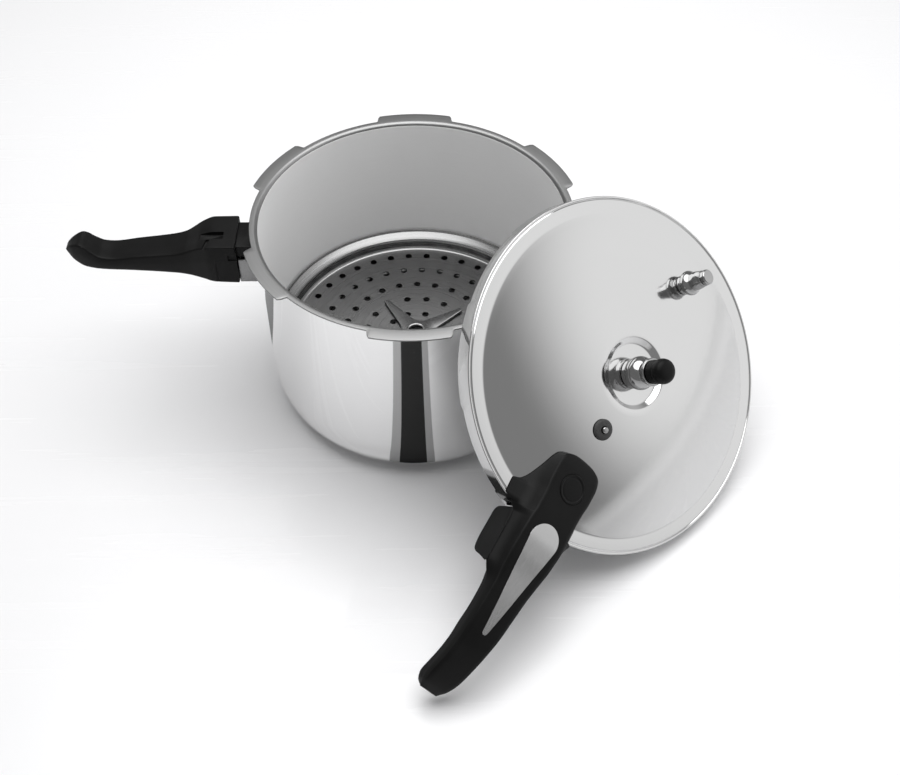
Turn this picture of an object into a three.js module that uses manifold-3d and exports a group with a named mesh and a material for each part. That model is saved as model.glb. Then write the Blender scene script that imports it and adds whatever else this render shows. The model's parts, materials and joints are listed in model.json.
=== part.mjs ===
// Pressure canner: bayonet-flange pot with steamer rack, and its lid leaning on the rim.
// Millimetres, +Z up. The origin is the centre of the pot's base on the floor; the pot
// handle points along -X. The lid has a frame of its own, which is the pot's frame when
// the lid is shut: +Z out of the dome, lid handle along -X. One group leans that frame.
import * as THREE from 'three';
import { mergeVertices } from 'three/addons/utils/BufferGeometryUtils.js';
import Module from 'manifold-3d';

const wasm = await Module();
wasm.setup();

// ---------------------------------------------------------------- driving dimensions
const GAP = 0.3;                     // air left between two pieces that touch
const TURN = 36;                     // sides of the large turned pieces
const SMALL_TURN = 16;               // sides of the small turned pieces

const POT_RADIUS = 120;              // inside radius of the wall
const POT_HEIGHT = 175;              // floor to the top of the flange
const SHEET = 1.4;                   // thickness of the pot's steel
const RIM_BEND = 3.5;                // radius of the bend from wall to flange
const FLANGE_RADIUS = 126.5;         // flange between the lugs
const LUG_RADIUS = 133.4;            // flange at the bayonet lugs
const LUG_COUNT = 6;
const LUG_FIRST = 30;                // degrees; the handle lies between two lugs
const LUG_BASE_ANGLE = 28.6;         // degrees, at the root of a lug
const LUG_TIP_ANGLE = 26.2;          // degrees, at its tip
const CORNER_HEIGHT = 43;            // the wall curves in below this
const BASE_RADIUS = 105;             // thick base disc
const BASE_THICKNESS = 5;

const PLATE_Z = 45;                  // underside of the steamer plate
const PLATE_SHEET = 1;
const PLATE_FIELD_RADIUS = 107;      // flat perforated field
const PLATE_RIM_RADIUS = 118.4;
const HOLE_RADIUS = 2.9;
const HOLE_RINGS = [[98, 38], [79.5, 31], [61, 24], [42.5, 16], [24.5, 10]];
const SPIDER_REACH = 47;             // hub to the end of an arm
const SPIDER_FIRST = 35;             // degrees
const SPIDER_ARMS = 4;
const EYE_INNER = 6;                  // lifting eye in the middle of the plate
const EYE_OUTER = 8.3;
const STAND_RING_RADIUS = 84;
const STAND_WIRE_RADIUS = 2.5;
const STAND_LEGS = 3;

const LID_SHEET = 1.2;
const LID_RADIUS = 135.5;            // outside of the skirt
const LID_BAND_RADIUS = 123.3;       // the flat band starts here
const DOME_HEIGHT = 18.5;            // crown above the flat band
const DISH_RADIUS = 28.4;            // pressed dish round the vent
const DISH_FLOOR_RADIUS = 23;
const DISH_DEPTH = 3.5;
const SKIRT_SHEET = 1.3;
const SKIRT_DEPTH = 14;              // between the lid's lugs
const SKIRT_LUG_DEPTH = 11.4;        // where a lug is turned in
const LID_LUG_RADIUS = 128;          // inner edge of a turned-in lug
const LID_LUG_SHEET = 1.4;
const LID_LUG_ANGLE = 28;            // degrees

const LEAN_CENTRE = [157, -109.5, 112.2];    // middle of the lid's band plane
const LEAN_AZIMUTH = -46.4;                  // the way the lid faces, degrees
const LEAN_TILT = 48.9;                      // its axis away from +Z, degrees
const LEAN_SPIN = 113;                       // turn about its own axis, degrees

const PLUG_RADIUS = 51;              // safety plug, on the handle's side of the centre
const VALVE_RADIUS = 89;             // safety valve, on the opposite side
const VALVE_ANGLE = -3.5;            // degrees from the line of the handle

// ---------------------------------------------------------------- materials
const metal = (colour, roughness) =>
  new THREE.MeshStandardMaterial({ color: colour, roughness, metalness: 1 });
const plain = (colour, roughness) =>
  new THREE.MeshStandardMaterial({ color: colour, roughness, metalness: 0 });
const polishedSteel = metal(0xc9c9cb, 0.12);
const satinSteel = metal(0xa2a3a5, 0.38);
const brushedSteel = metal(0xb4b5b7, 0.32);
const chrome = metal(0xd8d9dc, 0.06);
const baseSteel = metal(0x9c948c, 0.35);
const phenolic = plain(0x161617, 0.42);
const rubber = plain(0x2c2c2d, 0.7);

// ---------------------------------------------------------------- geometry helpers
const radians = THREE.MathUtils.degToRad;

// Keeps position only, joins shared vertices, drops collapsed triangles, faces outward.
function closed(geometry) {
  geometry.deleteAttribute('normal');
  geometry.deleteAttribute('uv');
  const merged = mergeVertices(geometry, 1e-4);
  const index = merged.index.array;
  const position = merged.attributes.position;
  const kept = [];
  let volume = 0;
  const [a, b, c] = [new THREE.Vector3(), new THREE.Vector3(), new THREE.Vector3()];
  for (let i = 0; i < index.length; i += 3) {
    const [p, q, r] = [index[i], index[i + 1], index[i + 2]];
    if (p === q || q === r || r === p) continue;
    kept.push(p, q, r);
    a.fromBufferAttribute(position, p);
    b.fromBufferAttribute(position, q);
    c.fromBufferAttribute(position, r);
    volume += a.dot(b.cross(c));
  }
  merged.setIndex(volume < 0 ? kept.reverse() : kept);
  return merged;
}

function toSolid(geometry) {
  const shape = closed(geometry);
  const vertProperties = new Float32Array(shape.attributes.position.array);
  const triVerts = new Uint32Array(shape.index.array);
  return new wasm.Manifold(new wasm.Mesh({ numProp: 3, vertProperties, triVerts }));
}

function toGeometry(solid) {
  const mesh = solid.getMesh();
  const geometry = new THREE.BufferGeometry();
  const positions = new Float32Array(mesh.vertProperties);
  geometry.setAttribute('position', new THREE.BufferAttribute(positions, 3));
  geometry.setIndex([...mesh.triVerts]);
  return geometry;
}

const cut = (geometry, tools) =>
  toGeometry(tools.reduce((solid, tool) => solid.subtract(toSolid(tool)), toSolid(geometry)));
const join = (geometry, others) =>
  toGeometry(others.reduce((solid, other) => solid.add(toSolid(other)), toSolid(geometry)));
const common = (first, second) =>
  toGeometry(toSolid(first).intersect(toSolid(second)));

// Turned solid from [radius, height] points; the profile starts and ends on the axis.
function turned(profile, sides = TURN) {
  const points = profile.map(([radius, height]) => new THREE.Vector2(radius, height));
  return closed(new THREE.LatheGeometry(points, sides).rotateX(Math.PI / 2));
}

// Turned ring: the same, with a profile that closes on itself.
const turnedRing = (profile, sides = TURN) => turned([...profile, profile[0]], sides);

function rod(radius, z0, z1, sides = SMALL_TURN) {
  return turned([[0, z0], [radius, z0], [radius, z1], [0, z1]], sides);
}

function hexNut(across, bore, z0, z1) {
  const nut = new THREE.CylinderGeometry(across / Math.sqrt(3), across / Math.sqrt(3), z1 - z0, 6);
  nut.rotateX(Math.PI / 2).translate(0, 0, (z0 + z1) / 2);
  return cut(nut, [rod(bore, z0 - 1, z1 + 1)]);
}

function block(x0, x1, y0, y1, z0, z1) {
  const box = new THREE.BoxGeometry(x1 - x0, y1 - y0, z1 - z0);
  return box.translate((x0 + x1) / 2, (y0 + y1) / 2, (z0 + z1) / 2);
}

const outline = (points) => new THREE.Shape(points.map(([x, y]) => new THREE.Vector2(x, y)));

// Flat plate from a plan outline in X and Y.
function plateFrom(shape, z0, z1, curveSegments = 10) {
  const options = { depth: z1 - z0, bevelEnabled: false, curveSegments };
  return closed(new THREE.ExtrudeGeometry(shape, options).translate(0, 0, z0));
}

// Slab from a side outline in X and Z, between two values of Y.
function slabFrom(points, y0, y1) {
  const options = { depth: y1 - y0, bevelEnabled: false };
  const slab = new THREE.ExtrudeGeometry(outline(points), options);
  return closed(slab.rotateX(Math.PI / 2).translate(0, y1, 0));
}

// Round wire along a curve.
function wire(curve, radius, steps, sides = 8) {
  const section = new THREE.Shape();
  for (let i = 0; i < sides; i++) {
    const angle = (i * 2 * Math.PI) / sides;
    const [x, y] = [radius * Math.cos(angle), radius * Math.sin(angle)];
    if (i === 0) section.moveTo(x, y);
    else section.lineTo(x, y);
  }
  section.closePath();
  const options = { steps, extrudePath: curve, bevelEnabled: false };
  return closed(new THREE.ExtrudeGeometry(section, options));
}

const smoothThrough = (points) =>
  new THREE.CatmullRomCurve3(points.map(([x, y, z]) => new THREE.Vector3(x, y, z)));

// Samples of an ellipse's quarter, for profiles: from angle0 to angle1 in degrees.
function arc(centre, radii, angle0, angle1, steps) {
  const points = [];
  for (let i = 0; i <= steps; i++) {
    const angle = radians(angle0 + ((angle1 - angle0) * i) / steps);
    points.push([centre[0] + radii[0] * Math.cos(angle), centre[1] + radii[1] * Math.sin(angle)]);
  }
  return points;
}

const polar = (radius, degrees) =>
  [radius * Math.cos(radians(degrees)), radius * Math.sin(radians(degrees))];

// Plan outline of one lug: an annular sector whose flanks lean in towards its tip.
function sector(middle, inner, outer, innerAngle, outerAngle, steps = 4) {
  const points = [];
  for (let i = 0; i <= steps; i++) {
    points.push(polar(outer, middle + outerAngle * (i / steps - 0.5)));
  }
  for (let i = steps; i >= 0; i--) {
    points.push(polar(inner, middle + innerAngle * (i / steps - 0.5)));
  }
  return outline(points);
}

function mesh(name, geometry, material) {
  const piece = new THREE.Mesh(geometry, material);
  piece.name = name;
  return piece;
}

// ---------------------------------------------------------------- pot
function potShell() {
  const wallRadius = POT_RADIUS + SHEET;
  const bend = [POT_RADIUS + RIM_BEND, POT_HEIGHT - RIM_BEND];
  const bottom = BASE_THICKNESS + GAP;
  const outerCorner = [wallRadius - BASE_RADIUS, CORNER_HEIGHT - bottom];
  const innerCorner = [POT_RADIUS - BASE_RADIUS, CORNER_HEIGHT - bottom - SHEET];
  const underBend = RIM_BEND - SHEET;
  const profile = [
    [0, bottom],
    ...arc([BASE_RADIUS, CORNER_HEIGHT], outerCorner, -90, 0, 6),
    ...arc(bend, [underBend, underBend], 180, 90, 2),
    [FLANGE_RADIUS, POT_HEIGHT - SHEET],
    [FLANGE_RADIUS, POT_HEIGHT],
    ...arc(bend, [RIM_BEND, RIM_BEND], 90, 180, 3),
    ...arc([BASE_RADIUS, CORNER_HEIGHT], innerCorner, 0, -90, 6),
    [0, bottom + SHEET],
  ];
  const lugs = [];
  for (let i = 0; i < LUG_COUNT; i++) {
    const middle = LUG_FIRST + (i * 360) / LUG_COUNT;
    const shape = sector(middle, bend[0] + 0.5, LUG_RADIUS, LUG_BASE_ANGLE, LUG_TIP_ANGLE);
    lugs.push(plateFrom(shape, POT_HEIGHT - SHEET, POT_HEIGHT));
  }
  return join(turned(profile), lugs);
}

function baseDisc() {
  const edge = 1.2;
  return turned([
    [0, 0],
    [BASE_RADIUS - edge, 0],
    [BASE_RADIUS, edge],
    [BASE_RADIUS, BASE_THICKNESS - edge],
    [BASE_RADIUS - edge, BASE_THICKNESS],
    [0, BASE_THICKNESS],
  ]);
}

// ---------------------------------------------------------------- pot handle, along -X
const POT_BLOCK_TOP = 161.5;         // the thick end of the handle, next to the pot
const POT_BLOCK_BOTTOM = 124.5;
const POT_BLOCK_END = 138;           // distance of its end face from the pot's axis
const POT_GUARD = { half: 15, z0: 148, z1: 158.5 };   // tongue that reaches the wall
const POT_BRACKET = { half: 17, z0: 123.5, z1: 146.5, sheet: 2 };
const POT_TONGUE = { half: 12, z0: 134, z1: 137, reach: 160 };    // plate inside the handle
const POT_SLOT = { from: 148.3, to: 167.4, y0: -8.2, y1: 0.2, depth: 4 };   // takes the lid's latch
const POT_SCREW = { at: 150, radius: 2.4, headRadius: 4.8, headDepth: 4, top: 146 };

const POT_HANDLE_TOP = [
  [POT_BLOCK_END, POT_BLOCK_TOP], [157, 161.2], [166, 159], [174, 154.8], [181, 151.2],
  [190, 149.3], [219, 146], [238, 143.6], [246, 144.6], [253, 149], [259, 154.6],
  [262, 155.6], [268, 153.5], [273, 150], [274.5, 147],
];
const POT_HANDLE_BOTTOM = [
  [273, 143.5], [268, 137.5], [260, 133.2], [250, 132], [222, 131], [189, 129.3],
  [167, 127.3], [154, 125.4], [POT_BLOCK_END, POT_BLOCK_BOTTOM],
];
const POT_HANDLE_HALF_WIDTHS = [
  [POT_BLOCK_END, 20], [158, 20], [167, 18], [177, 15.6], [190, 14.2], [220, 13],
  [246, 12.2], [259, 10.6], [268, 8], [274.5, 3.5],
];

const alongMinusX = (points) => points.map(([distance, z]) => [-distance, z]);
const planOf = (widths) => outline([
  ...widths.map(([distance, half]) => [-distance, half]),
  ...widths.map(([distance, half]) => [-distance, -half]).reverse(),
]);

function potHandle() {
  const side = slabFrom(alongMinusX([...POT_HANDLE_TOP, ...POT_HANDLE_BOTTOM]), -22, 22);
  const body = common(side, plateFrom(planOf(POT_HANDLE_HALF_WIDTHS), 100, 180));
  const wall = POT_RADIUS + SHEET + GAP;
  const guard = block(-POT_BLOCK_END - 2, -wall + 4, -POT_GUARD.half, POT_GUARD.half,
    POT_GUARD.z0, POT_GUARD.z1);
  const { half, z0, z1, reach } = POT_TONGUE;
  const socket = block(-reach - GAP, -POT_BLOCK_END + 1, -half - GAP, half + GAP,
    z0 - GAP, z1 + GAP);
  const { at, radius, headRadius, headDepth, top } = POT_SCREW;
  const screwWay = join(rod(radius + GAP, POT_BLOCK_BOTTOM - 5, top + 1),
    [rod(headRadius + GAP, POT_BLOCK_BOTTOM - 5, POT_BLOCK_BOTTOM + headDepth)]);
  const { from, to, y0, y1, depth } = POT_SLOT;
  const latchSlot = block(-to, -from, y0, y1, POT_BLOCK_TOP - depth, POT_BLOCK_TOP + 3);
  return cut(join(body, [guard]), [
    socket,
    screwWay.translate(-at, 0, 0),
    latchSlot,
    rod(wall, 100, 180, TURN),
  ]);
}

// Welded sheet-steel box, open at the top, with a tongue that goes into the handle.
function potHandleBracket() {
  const { half, z0, z1, sheet } = POT_BRACKET;
  const end = -POT_BLOCK_END + GAP;
  const box = block(end, -100, -half, half, z0, z1);
  const tongue = block(-POT_TONGUE.reach, end + 1, -POT_TONGUE.half, POT_TONGUE.half,
    POT_TONGUE.z0, POT_TONGUE.z1);
  return cut(join(box, [tongue]), [
    block(end + sheet, -99, -half + sheet, half - sheet, z0 + sheet, z1 + 1),
    rod(POT_RADIUS + SHEET + GAP, 100, 180, TURN),
    rod(POT_SCREW.radius + GAP, z0, z1).translate(-POT_SCREW.at, 0, 0),
  ]);
}

function potHandleScrew() {
  const { radius, headRadius, headDepth, top } = POT_SCREW;
  const z0 = POT_BLOCK_BOTTOM + 1.2;
  const z1 = POT_BLOCK_BOTTOM + headDepth - GAP;
  const profile = [[0, z0], [headRadius, z0], [headRadius, z1], [radius, z1], [radius, top]];
  return turned([...profile, [0, top]], SMALL_TURN);
}

// ---------------------------------------------------------------- steamer rack
function steamerPlate() {
  const [top, t] = [PLATE_Z + PLATE_SHEET, PLATE_SHEET];
  const rim = [[PLATE_FIELD_RADIUS, 0], [109.2, 2], [110.2, 8], [112.5, 9.8], [117.4, 13]];
  const profile = [
    [0, PLATE_Z],
    ...rim.map(([radius, rise]) => [radius + 0.5 * t, PLATE_Z + rise]),
    [PLATE_RIM_RADIUS, PLATE_Z + 15],
    [PLATE_RIM_RADIUS - t, PLATE_Z + 15.4],
    ...rim.map(([radius, rise]) => [radius - 0.5 * t, top + rise]).reverse(),
    [0, top],
  ];
  const plate = toSolid(turned(profile));
  const hole = rod(HOLE_RADIUS, PLATE_Z - 1, top + 1, 6);
  const holes = [];
  HOLE_RINGS.forEach(([radius, count], ring) => {
    for (let i = 0; i < count; i++) {
      const [x, y] = polar(radius, ((i + 0.5 * (ring % 2)) * 360) / count);
      holes.push(toSolid(hole.clone().translate(x, y, 0)));
    }
  });
  const hub = toSolid(rod(EYE_INNER + 0.2, PLATE_Z - 1, top + 1));
  return toGeometry(holes.reduce((solid, tool) => solid.subtract(tool), plate.subtract(hub)));
}

// Pressed cross of four tapered ribs round the lifting eye.
function plateSpider() {
  const [z0, z1] = [PLATE_Z + PLATE_SHEET + GAP, PLATE_Z + PLATE_SHEET + 3];
  const star = [];
  for (let i = 0; i < SPIDER_ARMS; i++) {
    const middle = SPIDER_FIRST + (i * 360) / SPIDER_ARMS;
    star.push(polar(16, middle - 24), polar(SPIDER_REACH, middle - 2.4));
    star.push(polar(SPIDER_REACH, middle + 2.4), polar(16, middle + 24));
    star.push(polar(13, middle + 45));
  }
  return cut(plateFrom(outline(star), z0, z1), [rod(EYE_OUTER + GAP, z0 - 1, z1 + 1)]);
}

function plateLiftRing() {
  const z0 = PLATE_Z + PLATE_SHEET + GAP;
  const middle = (EYE_INNER + EYE_OUTER) / 2;
  return turnedRing([
    [EYE_INNER, z0], [EYE_OUTER, z0], [EYE_OUTER, z0 + 4.2], [middle, z0 + 5], [EYE_INNER, z0 + 4.2],
  ], 24);
}

// Wire stand that carries the plate: a ring on three bent legs.
function plateStand() {
  const floor = BASE_THICKNESS + GAP + SHEET + GAP + STAND_WIRE_RADIUS;
  const ringZ = PLATE_Z - GAP - STAND_WIRE_RADIUS;
  const ring = new THREE.TorusGeometry(STAND_RING_RADIUS, STAND_WIRE_RADIUS, 6, 30);
  const legs = [];
  for (let i = 0; i < STAND_LEGS; i++) {
    const middle = 90 + (i * 360) / STAND_LEGS;
    const at = (radius, offset, z) => [...polar(radius, middle + offset), z];
    const route = smoothThrough([
      at(STAND_RING_RADIUS, -15, ringZ), at(88, -11, ringZ - 15), at(92, -7, floor + 5),
      at(93, 0, floor), at(92, 7, floor + 5), at(88, 11, ringZ - 15),
      at(STAND_RING_RADIUS, 15, ringZ),
    ]);
    legs.push(wire(route, STAND_WIRE_RADIUS, 14, 6));
  }
  return join(ring.translate(0, 0, ringZ), legs);
}

// ---------------------------------------------------------------- lid, in its own frame
const domeHeight = (radius) => DOME_HEIGHT * (1 - (radius / LID_BAND_RADIUS) ** 2);
const DISH_TOP = domeHeight(DISH_RADIUS);
const DISH_FLOOR = DISH_TOP - DISH_DEPTH;
const domeSlope = (radius) => Math.atan((2 * DOME_HEIGHT * radius) / LID_BAND_RADIUS ** 2);

// Moves a fitting made round the Z axis to the dome, square to it, at [radius, degrees].
function ontoDome(geometry, radius, degrees) {
  geometry.rotateY(domeSlope(radius)).translate(radius, 0, domeHeight(radius));
  return geometry.rotateZ(radians(degrees));
}

const VENT_HOLE = 5.3;
const VALVE_HOLE = 5.3;
const PLUG_HOLE = 5.9;

function lidShell() {
  const bead = LID_RADIUS - 1.5;
  const skirtIn = LID_RADIUS - SKIRT_SHEET;
  const dome = [112, 98, 84, 70, 56, 43].map((radius) => [radius, domeHeight(radius)]);
  const top = [
    [0, DISH_FLOOR], [DISH_FLOOR_RADIUS, DISH_FLOOR], [DISH_RADIUS - 1.5, DISH_TOP - 0.4],
    [DISH_RADIUS + 1, domeHeight(DISH_RADIUS + 1)], ...dome.slice().reverse(),
    [LID_BAND_RADIUS, 0], [bead - 1.2, 0], [bead - 0.4, -0.6], [bead + 0.2, 0],
    [LID_RADIUS - 0.6, 0], [LID_RADIUS, -0.7],
  ];
  const under = [
    [skirtIn, -LID_SHEET - 0.6], [LID_BAND_RADIUS - 0.5, -LID_SHEET - 0.2],
    ...dome.map(([radius, z]) => [radius, z - LID_SHEET]),
    [DISH_RADIUS - 1, DISH_TOP - LID_SHEET - 0.4],
    [DISH_FLOOR_RADIUS - 1, DISH_FLOOR - LID_SHEET], [0, DISH_FLOOR - LID_SHEET],
  ];
  const skirt = [[LID_RADIUS, -SKIRT_DEPTH], [skirtIn, -SKIRT_DEPTH]];
  const shell = turned([...top, ...skirt, ...under]);
  const notches = [];
  const lugs = [];
  for (let i = 0; i < LUG_COUNT; i++) {
    const middle = LUG_FIRST + (i * 360) / LUG_COUNT;
    const notch = sector(middle, LID_RADIUS - 6, LID_RADIUS + 4, 30, 33);
    notches.push(plateFrom(notch, -SKIRT_DEPTH - 5, -SKIRT_LUG_DEPTH));
    const lug = sector(middle, LID_LUG_RADIUS, LID_RADIUS - 0.6, LID_LUG_ANGLE - 2, LID_LUG_ANGLE);
    lugs.push(plateFrom(lug, -SKIRT_LUG_DEPTH, -SKIRT_LUG_DEPTH + LID_LUG_SHEET));
  }
  return cut(join(cut(shell, notches), lugs), [
    rod(VENT_HOLE, -5, 30),
    ontoDome(rod(VALVE_HOLE, -8, 8), VALVE_RADIUS, VALVE_ANGLE),
    ontoDome(rod(PLUG_HOLE, -8, 8), PLUG_RADIUS, 180),
  ]);
}

function gasket() {
  const [inner, outer] = [121.5, 133.6];
  const [low, high] = [-7, -LID_SHEET - 0.6 - GAP];
  const lip = low + 1.6;
  return turnedRing([
    [inner, low], [outer - 1.5, low], [outer, low + 1.5], [outer, high], [inner + 1, high],
    [inner + 1, high - 1.4], [outer - 3, high - 1.4], [outer - 3, lip], [inner, lip],
  ]);
}

// ---------------------------------------------------------------- lid handle, along -X
const LID_HANDLE_TOP = [
  [79, 15.8], [83, 17], [92, 18.2], [105, 18.5], [125, 18.5], [146, 17.8], [160, 16.3], [175, 14],
  [200, 10.8], [222, 7.3], [236, 3.6], [248, -1.2], [259, -7], [268, -13.5], [273.5, -20],
];
const LID_HANDLE_SPLIT = [            // underside of the cover, top of the lower shell
  [273, -22.5], [262, -19.5], [245, -10.5], [225, -4], [205, -0.5], [180, 1.5], [139, 3.5],
];
const LID_HANDLE_UNDER = [            // underside of the lower shell
  [270.5, -28], [266, -30.7], [257, -25], [242, -18], [224, -13], [207, -8.6], [190, -7],
  [139, -7],
];
// Cross-sections of the cover: distance, half-width of its top, then how far its foot
// reaches on the +Y side, which has a lip over the rim, and on the -Y side.
const LID_HANDLE_SECTIONS = [
  [79, 7, 9, 8.5], [80.6, 11.5, 15.5, 14.5], [83, 16, 23.5, 21.5], [86, 18.2, 27.5, 23.6],
  [95, 19.6, 30, 25.5], [105, 19.4, 32.6, 27.5], [115, 18.4, 35.2, 29.5],
  [118, 18.3, 39.6, 30], [129, 18, 38.8, 30.5], [135, 18.4, 33, 30],
  [150, 19, 28.4, 26], [163, 18.4, 26.2, 23.5], [176, 17, 25.4, 19.5], [191, 15.4, 16.8, 16.6],
  [205, 14.8, 15.6, 15.6], [222, 14.2, 14.8, 14.8], [236, 13.2, 13.8, 13.8],
  [248, 12.6, 13.2, 13.2], [259, 12.2, 12.8, 12.8], [268, 10.4, 11, 11], [273.5, 7, 7.6, 7.6],
];
const LOWER_HALF_WIDTHS = [
  [139, 20.6], [163, 20.2], [177, 18.6], [191, 16], [205, 14.8], [222, 13.8], [236, 12.6],
  [248, 12], [259, 11.2], [268, 9], [270.5, 7],
];
const CHEEK = { y0: 21.4, y1: 25.6 };   // side wall over the pot handle, on one side
const CHEEK_OUTLINE = [[140, 4.4], [136.2, 1], [136.2, -18], [138.5, -21], [162, -21.3],
  [170, -19.6], [173, -16], [176, -6], [179, 1], [179, 2.8]];
const LID_BRACKET = { half: 11, sheet: 2, from: 96, to: 172 };
const MEDALLION = { at: 103.5, radius: 11, thickness: 1.6 };
const INLAY = { round: 147.5, radius: 12.8, tip: 224.5, tipRadius: 2.2, thickness: 1.2 };
const FRONT_SCREW = { at: MEDALLION.at, radius: 2.2, headRadius: 4.4, sunk: 7.5 };
const REAR_SCREW = { at: 196, radius: 2, headRadius: 4 };

// Straight-line height of a side profile at a distance along the handle.
function heightAt(profile, distance) {
  for (let i = 1; i < profile.length; i++) {
    const [[x0, z0], [x1, z1]] = [profile[i - 1], profile[i]];
    if ((distance - x0) * (distance - x1) <= 0) {
      return z0 + ((z1 - z0) * (distance - x0)) / (x1 - x0);
    }
  }
  throw new Error('distance outside the handle profile');
}

const shifted = (profile, dz) => profile.map(([distance, z]) => [distance, z + dz]);

// The lid's outside with a little air round it; what sits on the lid is cut by this.
const lidClearance = () => turned([
  [0, -60], [LID_RADIUS + 0.8, -60], [LID_RADIUS + 0.8, 2 * GAP], [LID_BAND_RADIUS, 2 * GAP],
  ...[112, 98, 84, 70].map((radius) => [radius, domeHeight(radius) + 2 * GAP]),
  [60, domeHeight(60)], [0, domeHeight(60)],
]);

// Solid through cross-sections along -X; each is a convex loop of [y, z] points.
function loft(sections) {
  const sides = sections[0].loop.length;
  const positions = [];
  sections.forEach(({ distance, loop }) =>
    loop.forEach(([y, z]) => positions.push(-distance, y, z)));
  const index = [];
  const last = (sections.length - 1) * sides;
  for (let i = 1; i < sides - 1; i++) {
    index.push(0, i, i + 1);
    index.push(last, last + i + 1, last + i);
  }
  for (let s = 0; s < last; s += sides) {
    for (let i = 0; i < sides; i++) {
      const [a, b] = [s + i, s + ((i + 1) % sides)];
      index.push(a, a + sides, b);
      index.push(b, a + sides, b + sides);
    }
  }
  const geometry = new THREE.BufferGeometry();
  geometry.setAttribute('position', new THREE.Float32BufferAttribute(positions, 3));
  geometry.setIndex(index);
  return closed(geometry);
}

// One loop of the cover: flat foot, flanks that lean in, a softly crowned top.
function coverLoop(top, topHalf, foot, reachLeft, reachRight) {
  const shoulder = Math.min(1.6, (top - foot) / 3);
  const middle = foot + 0.42 * (top - foot);
  const flank = (reach, side) => {
    const waist = topHalf + 0.34 * (reach - topHalf) + 0.6;
    const points = [[reach, foot], [reach, foot + 0.8], [waist, middle],
      [topHalf, top - shoulder], [topHalf - 2.4, top - 0.3 * shoulder]];
    return points.map(([y, z]) => [side * y, z]);
  };
  return [...flank(reachLeft, 1), [0, top], ...flank(reachRight, -1).reverse()];
}

// Teardrop plan of the steel inlay, grown by a margin for its pocket.
function teardrop(margin) {
  const { round, radius, tip, tipRadius } = INLAY;
  const lean = Math.asin((radius - tipRadius) / (tip - round));
  const shape = new THREE.Shape();
  const [from, to] = [Math.PI / 2 + lean, -Math.PI / 2 - lean];
  shape.absarc(-round, 0, radius + margin, from, to, true);
  shape.absarc(-tip + tipRadius, 0, tipRadius + margin, to, from, true);
  return shape;
}

// Layer that follows the top of the handle between two depths.
function topLayer(low, high) {
  const layer = [...shifted(LID_HANDLE_TOP, high), ...shifted(LID_HANDLE_TOP, low).reverse()];
  return slabFrom(alongMinusX(layer), -30, 30);
}

function lidBracketSide(margin) {
  const { sheet, from, to } = LID_BRACKET;
  const foot = [[from, domeHeight(from)], [112, domeHeight(112)], [LID_BAND_RADIUS, 0.6]];
  const lower = [...foot, [132, 0.6], [139, 4.6], [to, 4.6]];
  const raised = shifted(lower, 1.2 - margin);
  const upper = shifted(lower, 1.2 + sheet + margin).reverse();
  return alongMinusX([...raised, ...upper]);
}

function lidHandleBracket() {
  const strip = slabFrom(lidBracketSide(0), -LID_BRACKET.half, LID_BRACKET.half);
  return cut(strip, [
    rod(FRONT_SCREW.radius + GAP, 0, 30).translate(-FRONT_SCREW.at, 0, 0),
  ]);
}

function lidHandleCover() {
  const splitAt = (distance) => heightAt(LID_HANDLE_SPLIT, Math.min(distance, 273));
  const body = loft(LID_HANDLE_SECTIONS.map(([distance, topHalf, left, right]) => {
    const foot = distance < 139 ? -1 : splitAt(distance) - 1;
    const top = heightAt(LID_HANDLE_TOP, distance);
    return { distance, loop: coverLoop(top, topHalf, foot, left, right) };
  }));
  const rim = LID_RADIUS - 2;
  const split = slabFrom(alongMinusX([...LID_HANDLE_SPLIT, [rim, 3.5], [rim, -60], [280, -60],
    [280, -22.5]]), -45, 45);
  const bracketWay = slabFrom(lidBracketSide(GAP), -LID_BRACKET.half - GAP, LID_BRACKET.half + GAP);
  const crown = heightAt(LID_HANDLE_TOP, MEDALLION.at);
  const medallionPocket = rod(MEDALLION.radius + GAP, crown - MEDALLION.thickness, crown + 5, 28);
  const screwPocket = rod(FRONT_SCREW.headRadius + GAP, crown - FRONT_SCREW.sunk, crown + 1);
  const screwWay = rod(FRONT_SCREW.radius + GAP, 0, crown);
  const pocket = common(topLayer(-INLAY.thickness - GAP, 6), plateFrom(teardrop(GAP), -40, 60));
  const rearWay = rod(REAR_SCREW.radius + GAP, -20, 7);
  const cheek = slabFrom(alongMinusX(CHEEK_OUTLINE), CHEEK.y0, CHEEK.y1);
  return cut(join(cut(body, [split]), [cheek]), [
    lidClearance(), bracketWay, pocket,
    medallionPocket.translate(-MEDALLION.at, 0, 0),
    screwPocket.translate(-FRONT_SCREW.at, 0, 0),
    screwWay.translate(-FRONT_SCREW.at, 0, 0),
    rearWay.translate(-REAR_SCREW.at, 0, 0),
  ]);
}

function lidHandleLower() {
  const top = shifted(LID_HANDLE_SPLIT, -GAP);
  const side = slabFrom(alongMinusX([...top, ...LID_HANDLE_UNDER.slice().reverse()]), -26, 26);
  const body = common(side, plateFrom(planOf(LOWER_HALF_WIDTHS), -60, 60));
  const under = heightAt(LID_HANDLE_UNDER, REAR_SCREW.at);
  const screwWay = join(rod(REAR_SCREW.radius + GAP, -30, 10),
    [rod(REAR_SCREW.headRadius + GAP, -30, under + 3.5)]);
  return cut(body, [screwWay.translate(-REAR_SCREW.at, 0, 0)]);
}

function lidHandleInlay() {
  return common(topLayer(-INLAY.thickness, 0), plateFrom(teardrop(0), -40, 60));
}

function lidHandleMedallion() {
  const z0 = heightAt(LID_HANDLE_TOP, MEDALLION.at) - MEDALLION.thickness + GAP;
  const { radius, thickness } = MEDALLION;
  return turned([
    [0, z0], [radius, z0], [radius, z0 + thickness - 0.3], [radius - 0.8, z0 + thickness],
    [radius - 1.8, z0 + thickness - 0.5], [0, z0 + thickness - 0.5],
  ], 28);
}

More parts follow.
